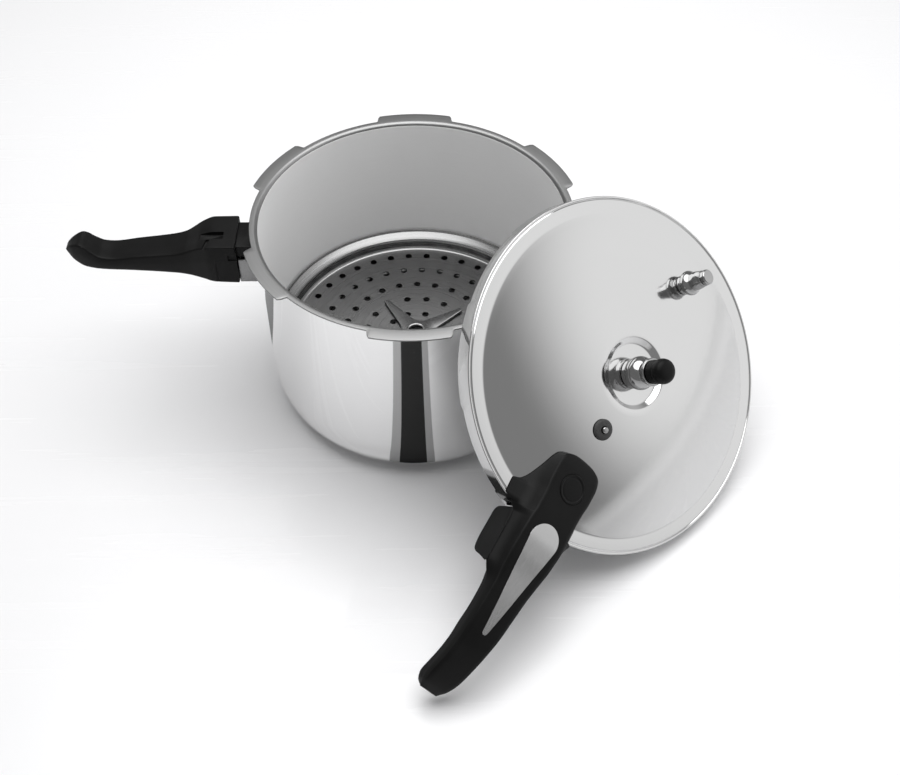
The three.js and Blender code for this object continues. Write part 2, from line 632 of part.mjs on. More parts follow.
// Screw along +Z: a cheese head between z0 and z1, a shank from the head to zEnd.
function screw({ radius, headRadius }, z0, z1, zEnd) {
  const [headEnd, tip] = zEnd > z1 ? [z1, zEnd] : [z0, zEnd];
  const start = zEnd > z1 ? z0 : z1;
  return turned([[0, start], [headRadius, start], [headRadius, headEnd], [radius, headEnd],
    [radius, tip], [0, tip]], SMALL_TURN);
}

function frontScrew() {
  const seat = heightAt(LID_HANDLE_TOP, MEDALLION.at) - FRONT_SCREW.sunk + GAP;
  const foot = domeHeight(FRONT_SCREW.at) + 2 * GAP;
  return screw(FRONT_SCREW, seat, seat + 3, foot);
}

function rearScrew() {
  const seat = heightAt(LID_HANDLE_UNDER, REAR_SCREW.at) + 3.5 - GAP;
  return screw(REAR_SCREW, seat - 2.6, seat, 5);
}

// ---------------------------------------------------------------- vent and weight
const VENT_FLANGE = 2.8;
const WEIGHT_SEAT = DISH_FLOOR + GAP + VENT_FLANGE + GAP;   // the weight rests here
const WEIGHT_FOOT = DISH_FLOOR + 2 * GAP;
const PIPE_TOP = DISH_FLOOR + 16;

function ventPipe() {
  const [base, under] = [DISH_FLOOR + GAP, DISH_FLOOR - LID_SHEET - 8];
  return turnedRing([
    [1.2, under], [5, under], [5, base], [9, base], [9, base + VENT_FLANGE],
    [3.4, base + VENT_FLANGE], [3.2, PIPE_TOP - 1], [2.4, PIPE_TOP], [1.2, PIPE_TOP],
  ], SMALL_TURN);
}

function regulatorWeight() {
  const at = (radius, rise) => [radius, WEIGHT_FOOT + rise];
  return turned([
    [0, PIPE_TOP + 1], [3.8, PIPE_TOP + 1], [3.8, WEIGHT_SEAT], [9.4, WEIGHT_SEAT],
    [9.4, WEIGHT_FOOT], at(10.8, 0), at(11.4, 1), at(11.2, 3.2),
    ...arc([0, WEIGHT_FOOT + 9.4], [12.7, 10.4], -28, 48, 6),
    at(8.4, 18.4), at(8.4, 20.6), at(10.2, 21.6), at(10.6, 23), at(10.2, 24.5),
    at(3, 24.5), at(3, 33), at(0, 33),
  ], 24);
}

function regulatorKnob() {
  const at = (radius, rise) => [radius, WEIGHT_FOOT + rise];
  return turned([
    at(0, 33.6), at(3.4, 33.6), at(3.4, 24.8), at(8.8, 24.8), at(9, 26), at(8.8, 30.4),
    at(8.6, 31.4), at(9.4, 32.6), at(9.5, 35.6), at(8.6, 38.4), at(6.2, 40), at(3, 40.5),
    at(0, 40.6),
  ], 24);
}

// ---------------------------------------------------------------- safety valve
const VALVE_TOP = 22;

function valveBody() {
  return turnedRing([
    [2.2, -8], [5, -8], [5, GAP], [7.2, GAP], [7.8, 1.4],
    ...arc([0, 7.6], [9.7, 6.4], -40, 42, 6),
    [7.3, 15], [6.4, 20], [6.2, VALVE_TOP], [2.4, VALVE_TOP], [2.4, VALVE_TOP - 3],
    [4.9, VALVE_TOP - 3], [4.9, 5], [2.2, 5],
  ], SMALL_TURN);
}

// The stem lifts against its spring; its bright cap is the flat tip of the valve.
function valveStem() {
  return turned([
    [0, -6], [1.9, -6], [1.9, 5.4], [4.4, 5.4], [4.4, 7.2], [2, 7.2],
    [2, VALVE_TOP + GAP], [6, VALVE_TOP + GAP], [6, VALVE_TOP + 3.6], [5.3, VALVE_TOP + 4.4],
    [0, VALVE_TOP + 4.4],
  ], SMALL_TURN);
}

function valveSpring() {
  const turns = 3;
  const [z0, z1] = [8.1, VALVE_TOP - 6.4];
  class Helix extends THREE.Curve {
    getPoint(t, target = new THREE.Vector3()) {
      const angle = t * turns * 2 * Math.PI;
      return target.set(3.4 * Math.cos(angle), 3.4 * Math.sin(angle), z0 + (z1 - z0) * t);
    }
  }
  return wire(new Helix(), 0.55, turns * 12, 5);
}

// ---------------------------------------------------------------- safety plug
function plugGrommet() {
  const under = -LID_SHEET - GAP - 2.4;
  return turnedRing([
    [2.8, under], [7.2, under], [7.8, -LID_SHEET - GAP - 0.4], [7.8, -LID_SHEET - GAP],
    [PLUG_HOLE - GAP, -LID_SHEET - GAP], [PLUG_HOLE - GAP, GAP], [8, GAP], [8, 1.2],
    [6.6, 2.2], [2.8, 2.6],
  ], SMALL_TURN);
}

// The pin floats up with pressure; its foot stops it under the rubber.
function indicatorPin() {
  const foot = -LID_SHEET - GAP - 2.4 - 4.3;
  return turned([
    [0, foot - 1.6], [4.4, foot - 1.6], [4.4, foot], [2.4, foot], [2.4, 4.2], [1.8, 4.8], [0, 4.8],
  ], SMALL_TURN);
}

// ---------------------------------------------------------------- assembly
const pot = new THREE.Group();
pot.add(
  mesh('pot_shell', potShell(), polishedSteel),
  mesh('base_disc', baseDisc(), baseSteel),
  mesh('pot_handle_bracket', potHandleBracket(), satinSteel),
  mesh('pot_handle', potHandle(), phenolic),
  mesh('pot_handle_screw', potHandleScrew(), satinSteel),
);
pot.getObjectByName('pot_handle_screw').position.set(-POT_SCREW.at, 0, 0);

const rack = new THREE.Group();
rack.add(
  mesh('steamer_plate', steamerPlate(), brushedSteel),
  mesh('plate_spider', plateSpider(), satinSteel),
  mesh('plate_lift_ring', plateLiftRing(), chrome),
  mesh('plate_stand', plateStand(), satinSteel),
);

const lid = new THREE.Group();
lid.add(
  mesh('gasket', gasket(), rubber),
  mesh('lid_shell', lidShell(), polishedSteel),
  mesh('lid_handle_bracket', lidHandleBracket(), satinSteel),
  mesh('lid_handle_cover', lidHandleCover(), phenolic),
  mesh('lid_handle_lower', lidHandleLower(), phenolic),
  mesh('lid_handle_inlay', lidHandleInlay(), brushedSteel),
  mesh('lid_handle_medallion', lidHandleMedallion(), phenolic),
  mesh('lid_handle_front_screw', frontScrew(), satinSteel),
  mesh('lid_handle_rear_screw', rearScrew(), satinSteel),
  mesh('vent_pipe', ventPipe(), satinSteel),
  mesh('vent_nut', hexNut(17, 5.3, -3.6, 0), satinSteel),
  mesh('regulator_weight', regulatorWeight(), chrome),
  mesh('regulator_knob', regulatorKnob(), phenolic),
);
lid.getObjectByName('lid_handle_medallion').position.set(-MEDALLION.at, 0, 0);
lid.getObjectByName('lid_handle_front_screw').position.set(-FRONT_SCREW.at, 0, 0);
lid.getObjectByName('lid_handle_rear_screw').position.set(-REAR_SCREW.at, 0, 0);
lid.getObjectByName('vent_nut').position.set(0, 0, DISH_FLOOR - LID_SHEET - GAP);

// A fitting's own frame: its origin on the dome, +Z square to the dome.
function fitting(radius, degrees) {
  const seat = new THREE.Group();
  seat.rotation.set(0, domeSlope(radius), radians(degrees), 'ZYX');
  const [x, y] = polar(radius, degrees);
  seat.position.set(x, y, domeHeight(radius));
  return seat;
}

const valve = fitting(VALVE_RADIUS, VALVE_ANGLE);
valve.add(
  mesh('safety_valve_body', valveBody(), chrome),
  mesh('safety_valve_nut', hexNut(15, 5.3, -4.4, -LID_SHEET - GAP - 0.2), satinSteel),
  mesh('safety_valve_stem', valveStem(), chrome),
  mesh('safety_valve_spring', valveSpring(), satinSteel),
);
const plug = fitting(PLUG_RADIUS, 180);
plug.add(
  mesh('safety_plug_grommet', plugGrommet(), rubber),
  mesh('indicator_pin', indicatorPin(), chrome),
);
lid.add(valve, plug);

lid.position.set(...LEAN_CENTRE);
lid.rotation.set(0, radians(LEAN_TILT), radians(LEAN_AZIMUTH), 'ZYX');
const spin = new THREE.Group();
spin.rotation.z = radians(LEAN_SPIN);
spin.add(...lid.children);
lid.add(spin);

const canner = new THREE.Group();
canner.add(pot, rack, lid);

export default canner;
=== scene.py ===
"""Pressure canner with its lid leaning on the rim: the visible model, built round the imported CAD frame.

The world is in metres, +Z up, with the pot's base on the floor at the origin and its handle along -X.
Profiles and outlines are written in millimetres, and each piece is made in one of four frames:
the pot's, the lid's (+Z out of the dome, lid handle along -X), the safety valve's and the safety plug's.
Each new piece stands for one CAD node, rides on that node's body and is called NODE_detail.
"""
import json
import math

import bmesh
import bpy
from mathutils import Matrix, Vector


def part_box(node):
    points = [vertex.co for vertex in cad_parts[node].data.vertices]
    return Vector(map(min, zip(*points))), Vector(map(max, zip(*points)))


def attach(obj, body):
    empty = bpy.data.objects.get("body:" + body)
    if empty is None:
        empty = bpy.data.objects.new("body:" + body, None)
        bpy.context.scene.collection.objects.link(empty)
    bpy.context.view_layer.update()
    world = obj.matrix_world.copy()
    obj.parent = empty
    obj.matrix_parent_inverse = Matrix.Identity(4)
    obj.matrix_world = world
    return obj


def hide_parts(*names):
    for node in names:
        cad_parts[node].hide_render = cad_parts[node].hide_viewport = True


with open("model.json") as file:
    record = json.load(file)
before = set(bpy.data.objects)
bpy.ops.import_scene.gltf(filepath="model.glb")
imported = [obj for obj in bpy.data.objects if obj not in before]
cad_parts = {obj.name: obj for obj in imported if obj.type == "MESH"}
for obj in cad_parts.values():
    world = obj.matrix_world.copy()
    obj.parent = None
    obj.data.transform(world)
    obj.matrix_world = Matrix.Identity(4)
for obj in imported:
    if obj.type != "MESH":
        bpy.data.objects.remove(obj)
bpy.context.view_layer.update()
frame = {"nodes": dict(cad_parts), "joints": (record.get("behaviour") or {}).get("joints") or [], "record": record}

MM = 0.001
GAP = 0.3                 # air between two pieces that touch
LARGE = 480               # sides of the large turned pieces
SMALL = 96                # sides of the small turned pieces
SHARP_ANGLE = math.radians(34)


# ---------- places, worked out from the frame
def joint(name):
    return next(j for j in frame["joints"] if j["name"] == name)


def place(origin, x_axis, z_axis):
    """Matrix of a frame with its +Z along z_axis, and +X as near to x_axis as that allows."""
    z = z_axis.normalized()
    y = z.cross(x_axis).normalized()
    turn = Matrix((y.cross(z), y, z)).transposed().to_4x4()
    return Matrix.Translation(origin) @ turn


def local_box(node, at):
    """Lowest and highest corner of a CAD node in millimetres, measured along the axes of a frame."""
    back = at.inverted()
    corners = [(back @ v.co) / MM for v in frame["nodes"][node].data.vertices]
    low = Vector([min(c[i] for c in corners) for i in range(3)])
    high = Vector([max(c[i] for c in corners) for i in range(3)])
    return low, high


def fitting_place(node, axis, depth):
    """Frame of a fitting on the dome: on the axis of a turned CAD node, depth above its lowest point."""
    at = place(LID_CENTRE, LID.col[0].to_3d(), axis)
    low, high = local_box(node, at)
    seat = Vector(((low.x + high.x) / 2, (low.y + high.y) / 2, low.z + depth))
    return at @ Matrix.Translation(seat * MM)


LID_CENTRE = Vector(joint("lid_twist")["pos_m"])
LID_NORMAL = Vector(joint("lid_twist")["axis"])
VALVE_AXIS = Vector(joint("safety_valve_lift")["axis"])
PLUG_AXIS = Vector(joint("indicator_rise")["axis"])
POT = Matrix.Identity(4)
LID = place(LID_CENTRE, LID_NORMAL - PLUG_AXIS * LID_NORMAL.dot(PLUG_AXIS), LID_NORMAL)
VALVE = fitting_place("safety_valve_body", VALVE_AXIS, 8)
PLUG = fitting_place("safety_plug_grommet", PLUG_AXIS, 3.9)

BASE_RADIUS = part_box("base_disc")[1].x / MM
BASE_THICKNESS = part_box("base_disc")[1].z / MM
POT_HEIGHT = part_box("pot_shell")[1].z / MM
LUG_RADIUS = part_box("pot_shell")[1].y / MM
PLATE_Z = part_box("steamer_plate")[0].z / MM
PLATE_RIM_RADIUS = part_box("steamer_plate")[1].x / MM
LID_RADIUS = local_box("lid_shell", LID)[1].x
BODY_OF = {
    node: body
    for body, nodes in frame["record"]["behaviour"]["bodies"].items()
    for node in nodes
}

# ---------- dimensions the boxes don't give
SHEET = 1.4
POT_WALL = 120            # inside radius of the wall
RIM_BEND = 3.5
FLANGE_RADIUS = 126.5     # flange between the lugs
LUG_COUNT = 6
LUG_FIRST = 30            # degrees
LUG_ROOT_HALF = 14.3      # half angle of a lug at its root, and at its tip
LUG_TIP_HALF = 13.1
CORNER_HEIGHT = 43        # the wall curves in below this

PLATE_FIELD_RADIUS = 107
HOLE_RADIUS = 2.9
HOLE_RINGS = [(98, 38), (79.5, 31), (61, 24), (42.5, 16), (24.5, 10)]
SPIDER_FIRST = 35         # degrees
SPIDER_ARMS = 4
# one arm: radius, degrees from its middle, fillet
SPIDER_ARM = [(16, -24, 3), (47, -2.4, 1.6), (47, 2.4, 1.6), (16, 24, 3), (13, 45, 3)]
EYE_INNER = 6             # lifting eye in the middle of the plate
EYE_OUTER = 8.3
STAND_RADIUS = 84
WIRE = 2.5

BAND_RADIUS = 123.3       # the lid's flat band starts here
DOME_HEIGHT = 18.5
LID_SHEET = 1.2
DISH_RADIUS = 28.4
DISH_FLOOR_RADIUS = 23
DISH_DEPTH = 3.5
SKIRT_SHEET = 1.3
SKIRT_DEPTH = 14
SKIRT_LUG_DEPTH = 11.4    # depth where a lug is turned in
BORE = 5.3                # holes for the vent pipe and the safety valve, and in their nuts
PLUG_BORE = 5.9


def dome_height(radius):
    return DOME_HEIGHT * (1 - (radius / BAND_RADIUS) ** 2)


DISH_TOP = dome_height(DISH_RADIUS)
DISH_FLOOR = DISH_TOP - DISH_DEPTH


# ---------- outlines
def arc(centre, radii, start, end, steps):
    """Points on part of an ellipse, angles in degrees."""
    angles = [math.radians(start + (end - start) * i / steps) for i in range(steps + 1)]
    return [(centre[0] + radii[0] * math.cos(a), centre[1] + radii[1] * math.sin(a)) for a in angles]


def filleted(points, loop=False, steps=4):
    """Rounds the corners of a line of points: each is (a, b), or (a, b, radius) to round it."""
    made = []
    count = len(points)
    for i, point in enumerate(points):
        here = Vector(point[:2])
        radius = point[2] if len(point) > 2 else 0
        if radius == 0 or (not loop and i in (0, count - 1)):
            made.append(here)
            continue
        before = Vector(points[i - 1][:2]) - here
        after = Vector(points[(i + 1) % count][:2]) - here
        reach = min(radius, 0.48 * before.length, 0.48 * after.length)
        start = here + before.normalized() * reach
        end = here + after.normalized() * reach
        for k in range(steps + 1):
            t = k / steps
            made.append(start * (1 - t) ** 2 + here * 2 * t * (1 - t) + end * t * t)
    return made


def inset(points, amount):
    """A closed outline, counter-clockwise, moved inward by an amount."""
    moved = []
    for i, here in enumerate(points):
        along = (points[(i + 1) % len(points)] - points[i - 1]).normalized()
        moved.append(here + Vector((-along.y, along.x)) * amount)
    return moved


def polar(radius, degrees):
    return radius * math.cos(math.radians(degrees)), radius * math.sin(math.radians(degrees))


def slopes(xs, ys):
    """Slopes for a smooth curve through the points that doesn't overshoot them."""
    steps = [(y1 - y0) / (x1 - x0) for x0, x1, y0, y1 in zip(xs, xs[1:], ys, ys[1:])]
    inner = [2 * a * b / (a + b) if a * b > 0 else 0 for a, b in zip(steps, steps[1:])]
    return [steps[0], *inner, steps[-1]]


def along(table, x):
    """Row of a table at x, its first column, on smooth curves through its rows."""
    xs = [row[0] for row in table]
    x = min(max(x, xs[0]), xs[-1])
    k = max(i for i in range(len(xs) - 1) if xs[i] <= x)
    width = xs[k + 1] - xs[k]
    t = (x - xs[k]) / width
    values = []
    for column in range(1, len(table[0])):
        ys = [row[column] for row in table]
        m = slopes(xs, ys)
        start = ys[k] * (2 * t ** 3 - 3 * t ** 2 + 1) + m[k] * width * (t ** 3 - 2 * t ** 2 + t)
        end = ys[k + 1] * (3 * t ** 2 - 2 * t ** 3) + m[k + 1] * width * (t ** 3 - t ** 2)
        values.append(start + end)
    return values


def stations(start, end, count):
    """Distances from start to end, closer together near both ends."""
    return [start + (end - start) * (1 - math.cos(math.pi * i / count)) / 2 for i in range(count + 1)]


# ---------- solids, made as bmesh in millimetres
def turned(profile, sides=LARGE, ring=False, warp=None):
    """Profile of (radius, height, fillet) turned about Z; a ring's profile closes on itself."""
    shape = bmesh.new()
    loops = []
    for radius, height in filleted(profile, loop=ring):
        if radius < 1e-6:
            loops.append([shape.verts.new((0, 0, height))])
            continue
        loop = []
        for i in range(sides):
            angle = 2 * math.pi * i / sides
            r, z = warp(radius, height, angle) if warp else (radius, height)
            loop.append(shape.verts.new((r * math.cos(angle), r * math.sin(angle), z)))
        loops.append(loop)
    for low, high in zip(loops, loops[1:] + (loops[:1] if ring else [])):
        join_loops(shape, low, high)
    return tidy(shape)


def join_loops(shape, low, high):
    """Faces between two loops, either of which may be a single point."""
    sides = max(len(low), len(high))
    if sides == 1:
        return
    for i in range(sides):
        j = (i + 1) % sides
        corners = [low[i % len(low)], low[j % len(low)], high[j % len(high)], high[i % len(high)]]
        shape.faces.new(list(dict.fromkeys(corners)))


def lofted(loops):
    """Closed solid through loops of (x, y, z) millimetres, all with the same number of points."""
    shape = bmesh.new()
    rows = [[shape.verts.new(point) for point in loop] for loop in loops]
    for low, high in zip(rows, rows[1:]):
        join_loops(shape, low, high)
    shape.faces.new(rows[0])
    shape.faces.new(rows[-1])
    return tidy(shape)


def slab(outline, low, high, edge=0.0, axis="z"):
    """Plate from a closed outline with softened edges; across z it lies in (x, y), across y in (x, z)."""
    steps = [(edge, low), (0.3 * edge, low + 0.3 * edge), (0, low + edge)] if edge else [(0, low)]
    mirrored = [(amount, low + high - level) for amount, level in reversed(steps)]
    loops = []
    for amount, level in steps + mirrored:
        points = inset(outline, amount) if amount else outline
        loops.append([(p.x, p.y, level) if axis == "z" else (p.x, level, p.y) for p in points])
    return lofted(loops)


def box(x0, x1, y0, y1, z0, z1, edge=0.0):
    corners = [(x0, y0, edge), (x1, y0, edge), (x1, y1, edge), (x0, y1, edge)]
    return slab(filleted(corners, loop=True), z0, z1, edge)


def rod(radius, low, high, sides=SMALL):
    return turned([(0, low), (radius, low), (radius, high), (0, high)], sides)


def tube(points, radius, sides=16, loop=False):
    """Round wire along a smooth line of points."""
    count = len(points)
    across = Vector((0, 0, 1))
    loops = []
    for i, here in enumerate(points):
        before = points[i - 1] if loop or i > 0 else here
        after = points[(i + 1) % count] if loop or i < count - 1 else here
        way = (after - before).normalized()
        across = (across - way * across.dot(way)).normalized()
        side = way.cross(across)
        turns = [2 * math.pi * k / sides for k in range(sides)]
        loops.append([here + (across * math.cos(a) + side * math.sin(a)) * radius for a in turns])
    if not loop:
        return lofted(loops)
    shape = bmesh.new()
    rows = [[shape.verts.new(point) for point in row] for row in loops]
    for low, high in zip(rows, rows[1:] + rows[:1]):
        join_loops(shape, low, high)
    return tidy(shape)


def smooth_line(points, steps=10):
    """Points of a Catmull-Rom curve through control points."""
    control = [Vector(p) for p in points]
    control = [2 * control[0] - control[1], *control, 2 * control[-1] - control[-2]]
    made = []
    for a, b, c, d in zip(control, control[1:], control[2:], control[3:]):
        for k in range(steps):
            t = k / steps
            made.append(0.5 * (2 * b + (c - a) * t + (2 * a - 5 * b + 4 * c - d) * t ** 2
                               + (3 * b - a - 3 * c + d) * t ** 3))
    return [*made, control[-2]]


def hex_nut(across, bore, low, high):
    """Chamfered nut: a hexagon trimmed by a turned cone, with a bore."""
    corner = across / math.sqrt(3)
    outline = [Vector(polar(corner, 60 * i)) for i in range(6)]
    chamfer = 0.35 * (corner - across / 2)
    trim = turned([
        (0, low), (corner - 2 * chamfer, low), (corner, low + chamfer), (corner, high - chamfer),
        (corner - 2 * chamfer, high), (0, high),
    ], SMALL)
    nut = combine(slab(outline, low, high), [trim], "INTERSECT")
    return combine(nut, [rod(bore, low - 1, high + 1)])


def tidy(shape):
    """Turns every face outward."""
    bmesh.ops.recalc_face_normals(shape, faces=shape.faces)
    if shape.calc_volume(signed=True) < 0:
        bmesh.ops.reverse_faces(shape, faces=shape.faces)
    return shape


def moved(shape, x=0.0, y=0.0, z=0.0):
    bmesh.ops.translate(shape, verts=shape.verts, vec=Vector((x, y, z)))
    return shape


def turn_to(shape, degrees):
    bmesh.ops.rotate(shape, verts=shape.verts, matrix=Matrix.Rotation(math.radians(degrees), 3, "Z"))
    return shape


def in_scene(name, data):
    """New object for a mesh, a lamp or a camera."""
    obj = bpy.data.objects.new(name, data)
    bpy.context.scene.collection.objects.link(obj)
    return obj


def as_object(name, shape, materials=()):
    """Makes an object of a shape, which is used up."""
    mesh = bpy.data.meshes.new(name)
    shape.to_mesh(mesh)
    shape.free()
    for material in materials:
        mesh.materials.append(material)
    return in_scene(name, mesh)


def combine(shape, tools, operation="DIFFERENCE"):
    """Boolean of a solid with others, one after the other. All of them are used up."""
    objects = [as_object("passing", each) for each in (shape, *tools)]
    for tool in objects[1:]:
        modifier = objects[0].modifiers.new("combine", "BOOLEAN")
        modifier.solver = "MANIFOLD"
        modifier.operation = operation
        modifier.object = tool
    bpy.context.view_layer.update()
    result = bmesh.new()
    result.from_object(objects[0], bpy.context.evaluated_depsgraph_get())
    for obj in objects:
        mesh = obj.data
        bpy.data.objects.remove(obj)
        bpy.data.meshes.remove(mesh)
    return result


def softened(node, at, width):
    """A flat-sided CAD node again, in a frame's own coordinates, with its sharp edges rounded."""
    shape = bmesh.new()
    shape.from_mesh(frame["nodes"][node].data)
    shape.transform(Matrix.Scale(1 / MM, 4) @ at.inverted())
    bmesh.ops.remove_doubles(shape, verts=shape.verts, dist=0.001)
    flat = [e for e in shape.edges if len(e.link_faces) == 2 and e.calc_face_angle(0) < 0.02]
    bmesh.ops.dissolve_edges(shape, edges=flat, use_verts=True)
    sharp = [e for e in shape.edges if len(e.link_faces) == 2 and e.calc_face_angle(0) > SHARP_ANGLE]
    bmesh.ops.bevel(shape, geom=sharp, offset=width, segments=2, profile=0.5,
                    affect="EDGES", clamp_overlap=True)
    return tidy(shape)


def piece(node, shape, at, materials, choose=None):
    """Shows a solid for a CAD node; choose gives a face's material from its middle and normal."""
    shape.normal_update()
    for face in shape.faces:
        face.material_index = choose(face.calc_center_median(), face.normal) if choose else 0
    shape.transform(at @ Matrix.Scale(MM, 4))
    obj = as_object(f"{node}_detail", shape, materials)
    obj.data.shade_smooth()
    obj.data.set_sharp_from_angle(angle=SHARP_ANGLE)
    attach(obj, BODY_OF[node])
    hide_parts(node)


# ---------- materials
def add_node(tree, kind, values, **settings):
    """Adds a node and gives its outputs. Each of the values is an input's own, or an output to link to it."""
    made = tree.nodes.new(f"ShaderNode{kind}")
    for name, value in settings.items():
        setattr(made, name, value)
    for name, value in values.items():
        if isinstance(value, bpy.types.NodeSocket):
            tree.links.new(value, made.inputs[name])
        else:
            made.inputs[name].default_value = value
    return made.outputs


class Surface:
    """A material with its shader and the few node steps that all of them share.

    Its texture follows the axes of one frame, the one the piece was made in.
    """

    def __init__(self, name, colour, metallic, roughness, at=POT):
        self.at = at
        self.material = bpy.data.materials.new(name)
        self.material.use_nodes = True
        self.tree = self.material.node_tree
        self.shader = self.tree.nodes["Principled BSDF"]
        self.colour = colour
        self.shader.inputs["Base Color"].default_value = (colour, colour, colour * 1.01, 1)
        self.shader.inputs["Metallic"].default_value = metallic
        self.shader.inputs["Roughness"].default_value = roughness

    def drive(self, name, output):
        """Links an output to an input of the shader."""
        self.tree.links.new(output, self.shader.inputs[name])

    def vector(self, operation, values, output="Vector"):
        return add_node(self.tree, "VectorMath", values, operation=operation)[output]

    def mapping(self, values):
        return add_node(self.tree, "Mapping", values)["Vector"]

    def join(self, x, y):
        """Vector of two numbers, with 0 as its third."""
        return add_node(self.tree, "CombineXYZ", {"X": x, "Y": y})["Vector"]

    def own(self):
        """Coordinates in metres along the axes of the frame."""
        back = self.at.inverted()
        source = add_node(self.tree, "TexCoord", {})["Object"]
        turn = {"Location": back.to_translation(), "Rotation": back.to_euler()}
        return self.mapping({"Vector": source, **turn})

    def coordinates(self, stretch):
        """Coordinates in metres, multiplied by stretch along each axis."""
        return self.mapping({"Vector": self.own(), "Scale": stretch})

    def turning(self, across, around):
        """Coordinates that change fast across the tool marks of a turned face, and slowly round it."""
        source = self.own()
        split = add_node(self.tree, "SeparateXYZ", {"Vector": source})
        radius = self.vector("LENGTH", {0: self.join(split["X"], split["Y"])}, "Value")
        marks = self.vector("SCALE", {0: self.join(radius, split["Z"]), "Scale": across})
        slow = self.vector("SCALE", {0: source, "Scale": around})
        return self.vector("ADD", {0: marks, 1: slow})

    def noise(self, vector, scale, detail=3.0):
        values = {"Vector": vector, "Scale": scale, "Detail": detail}
        return add_node(self.tree, "TexNoise", values)["Fac"]

    def spread(self, value, low, high):
        """Maps the middle of a noise, 0.3 to 0.7, to a range."""
        values = {"Value": value, "From Min": 0.3, "From Max": 0.7, "To Min": low, "To Max": high}
        return add_node(self.tree, "MapRange", values)["Result"]

    def fade(self, centre, near, far, end):
        """Value that rises from 0 to an end value between two distances from a point, in metres."""
        reach = self.vector("DISTANCE", {0: self.own(), 1: centre}, "Value")
        values = {"Value": reach, "From Min": near, "From Max": far, "To Min": 0, "To Max": end}
        return add_node(self.tree, "MapRange", values, interpolation_type="SMOOTHSTEP")["Result"]

    def vary_roughness(self, value, low, high):
        self.drive("Roughness", self.spread(value, low, high))

    def vary_colour(self, value, share):
        """Lightens and darkens the colour by a share of itself."""
        level = self.spread(value, self.colour * (1 - share), self.colour * (1 + share))
        tone = add_node(self.tree, "CombineColor", {"Red": level, "Green": level, "Blue": level})
        self.drive("Base Color", tone["Color"])

    def relief(self, *layers):
        """Bumps one after the other: each layer is a noise value and its height in metres."""
        below = {}
        for value, height in layers:
            values = {"Strength": 1, "Distance": height, "Height": value, **below}
            below = {"Normal": add_node(self.tree, "Bump", values)["Normal"]}
        self.drive("Normal", below["Normal"])


def turned_steel(name, colour, rough, marks=2.0e-6, waves=6.0e-6, share=0.03, metallic=1, at=POT):
    """Steel with fine tool marks round the piece's axis and the faint waves of pressed sheet."""
    steel = Surface(name, colour, metallic, rough[0], at)
    lines = steel.noise(steel.turning(2600, 14), 1, 2)
    patches = steel.noise(steel.coordinates((22, 22, 16)), 1, 2)
    steel.vary_roughness(lines, *rough)
    steel.vary_colour(lines, share)
    steel.relief((patches, waves), (lines, marks))
    return steel.material


def drawn_steel(name, colour, rough, stretch, marks=3.0e-6, share=0.05, at=POT):
    """Steel with brush lines along one axis, given by how fast the noise changes along each axis."""
    steel = Surface(name, colour, 1, rough[0], at)
    lines = steel.noise(steel.coordinates(stretch), 1, 3)
    steel.vary_roughness(lines, *rough)
    steel.vary_colour(lines, share)
    steel.relief((lines, marks))
    return steel.material


def bright_chrome(name):
    chrome = Surface(name, 0.36, 1, 0.12)
    specks = chrome.noise(chrome.own(), 900, 4)
    chrome.vary_colour(chrome.noise(chrome.own(), 160, 2), 0.03)
    chrome.vary_roughness(specks, 0.1, 0.15)
    return chrome.material


def phenolic(name):
    """Black moulded phenolic: fine pitted skin, slightly uneven sheen."""
    moulding = Surface(name, 0.005, 0, 0.45)
    moulding.shader.inputs["Specular IOR Level"].default_value = 0.13
    skin = moulding.noise(moulding.own(), 2600, 4)
    sheen = moulding.noise(moulding.own(), 45, 3)
    moulding.vary_colour(sheen, 0.25)
    moulding.vary_roughness(sheen, 0.4, 0.5)
    moulding.relief((skin, 1.2e-5))
    return moulding.material


def rubber(name, colour):
    soft = Surface(name, colour, 0, 0.7)
    skin = soft.noise(soft.own(), 1400, 5)
    soft.vary_colour(soft.noise(soft.own(), 120, 3), 0.3)
    soft.vary_roughness(skin, 0.55, 0.8)
    soft.relief((skin, 4.0e-5))
    return soft.material


MIRROR = turned_steel("polished_wall", 0.86, (0.03, 0.06), marks=4.0e-7, waves=3.0e-6, share=0.01)
INSIDE = turned_steel("brushed_inside", 0.95, (0.3, 0.36), marks=1.0e-6, waves=4.0e-6, share=0.01,
                      metallic=0.1)
# painted shade: the inside below the plate is dark steel, 0.2 against 0.95 above it, for the shade under the plate
BOTTOM = turned_steel("dull_bottom_painted_shade", 0.2, (0.35, 0.45), share=0.06)
FLANGE = turned_steel("satin_flange", 0.27, (0.34, 0.44), marks=2.0e-6, waves=4.0e-6, share=0.05)
DOME = turned_steel("polished_lid", 0.6, (0.09, 0.12), marks=6.0e-7, waves=2.0e-6, share=0.01, at=LID)
RACK = turned_steel("satin_rack", 0.17, (0.26, 0.34), marks=1.0e-6, waves=3.0e-6, share=0.04)
RACK_RIM = turned_steel("bright_rack_rim", 0.26, (0.22, 0.3), marks=1.5e-6, waves=4.0e-6)
SATIN = drawn_steel("satin_steel", 0.24, (0.26, 0.36), (300, 1800, 1800))
BASE = turned_steel("base_steel", 0.52, (0.22, 0.32), marks=3.0e-6, waves=3.0e-6, share=0.06)
INLAY_STEEL = drawn_steel("brushed_inlay", 0.55, (0.2, 0.27), (40, 2000, 2000), marks=8.0e-7, share=0.03,
                          at=LID)
CHROME = bright_chrome("chrome")
PHENOLIC = phenolic("black_phenolic")
GASKET_RUBBER = rubber("gasket_rubber", 0.035)


# ---------- pot
def lug_share(angle):
    """0 between the lugs, 1 on a lug, with short sloping flanks."""
    pitch = 360 / LUG_COUNT
    away = abs((math.degrees(angle) - LUG_FIRST + pitch / 2) % pitch - pitch / 2)
    t = min(max((LUG_ROOT_HALF - away) / (LUG_ROOT_HALF - LUG_TIP_HALF), 0), 1)
    return t * t * (3 - 2 * t) * 0.35 + t * 0.65


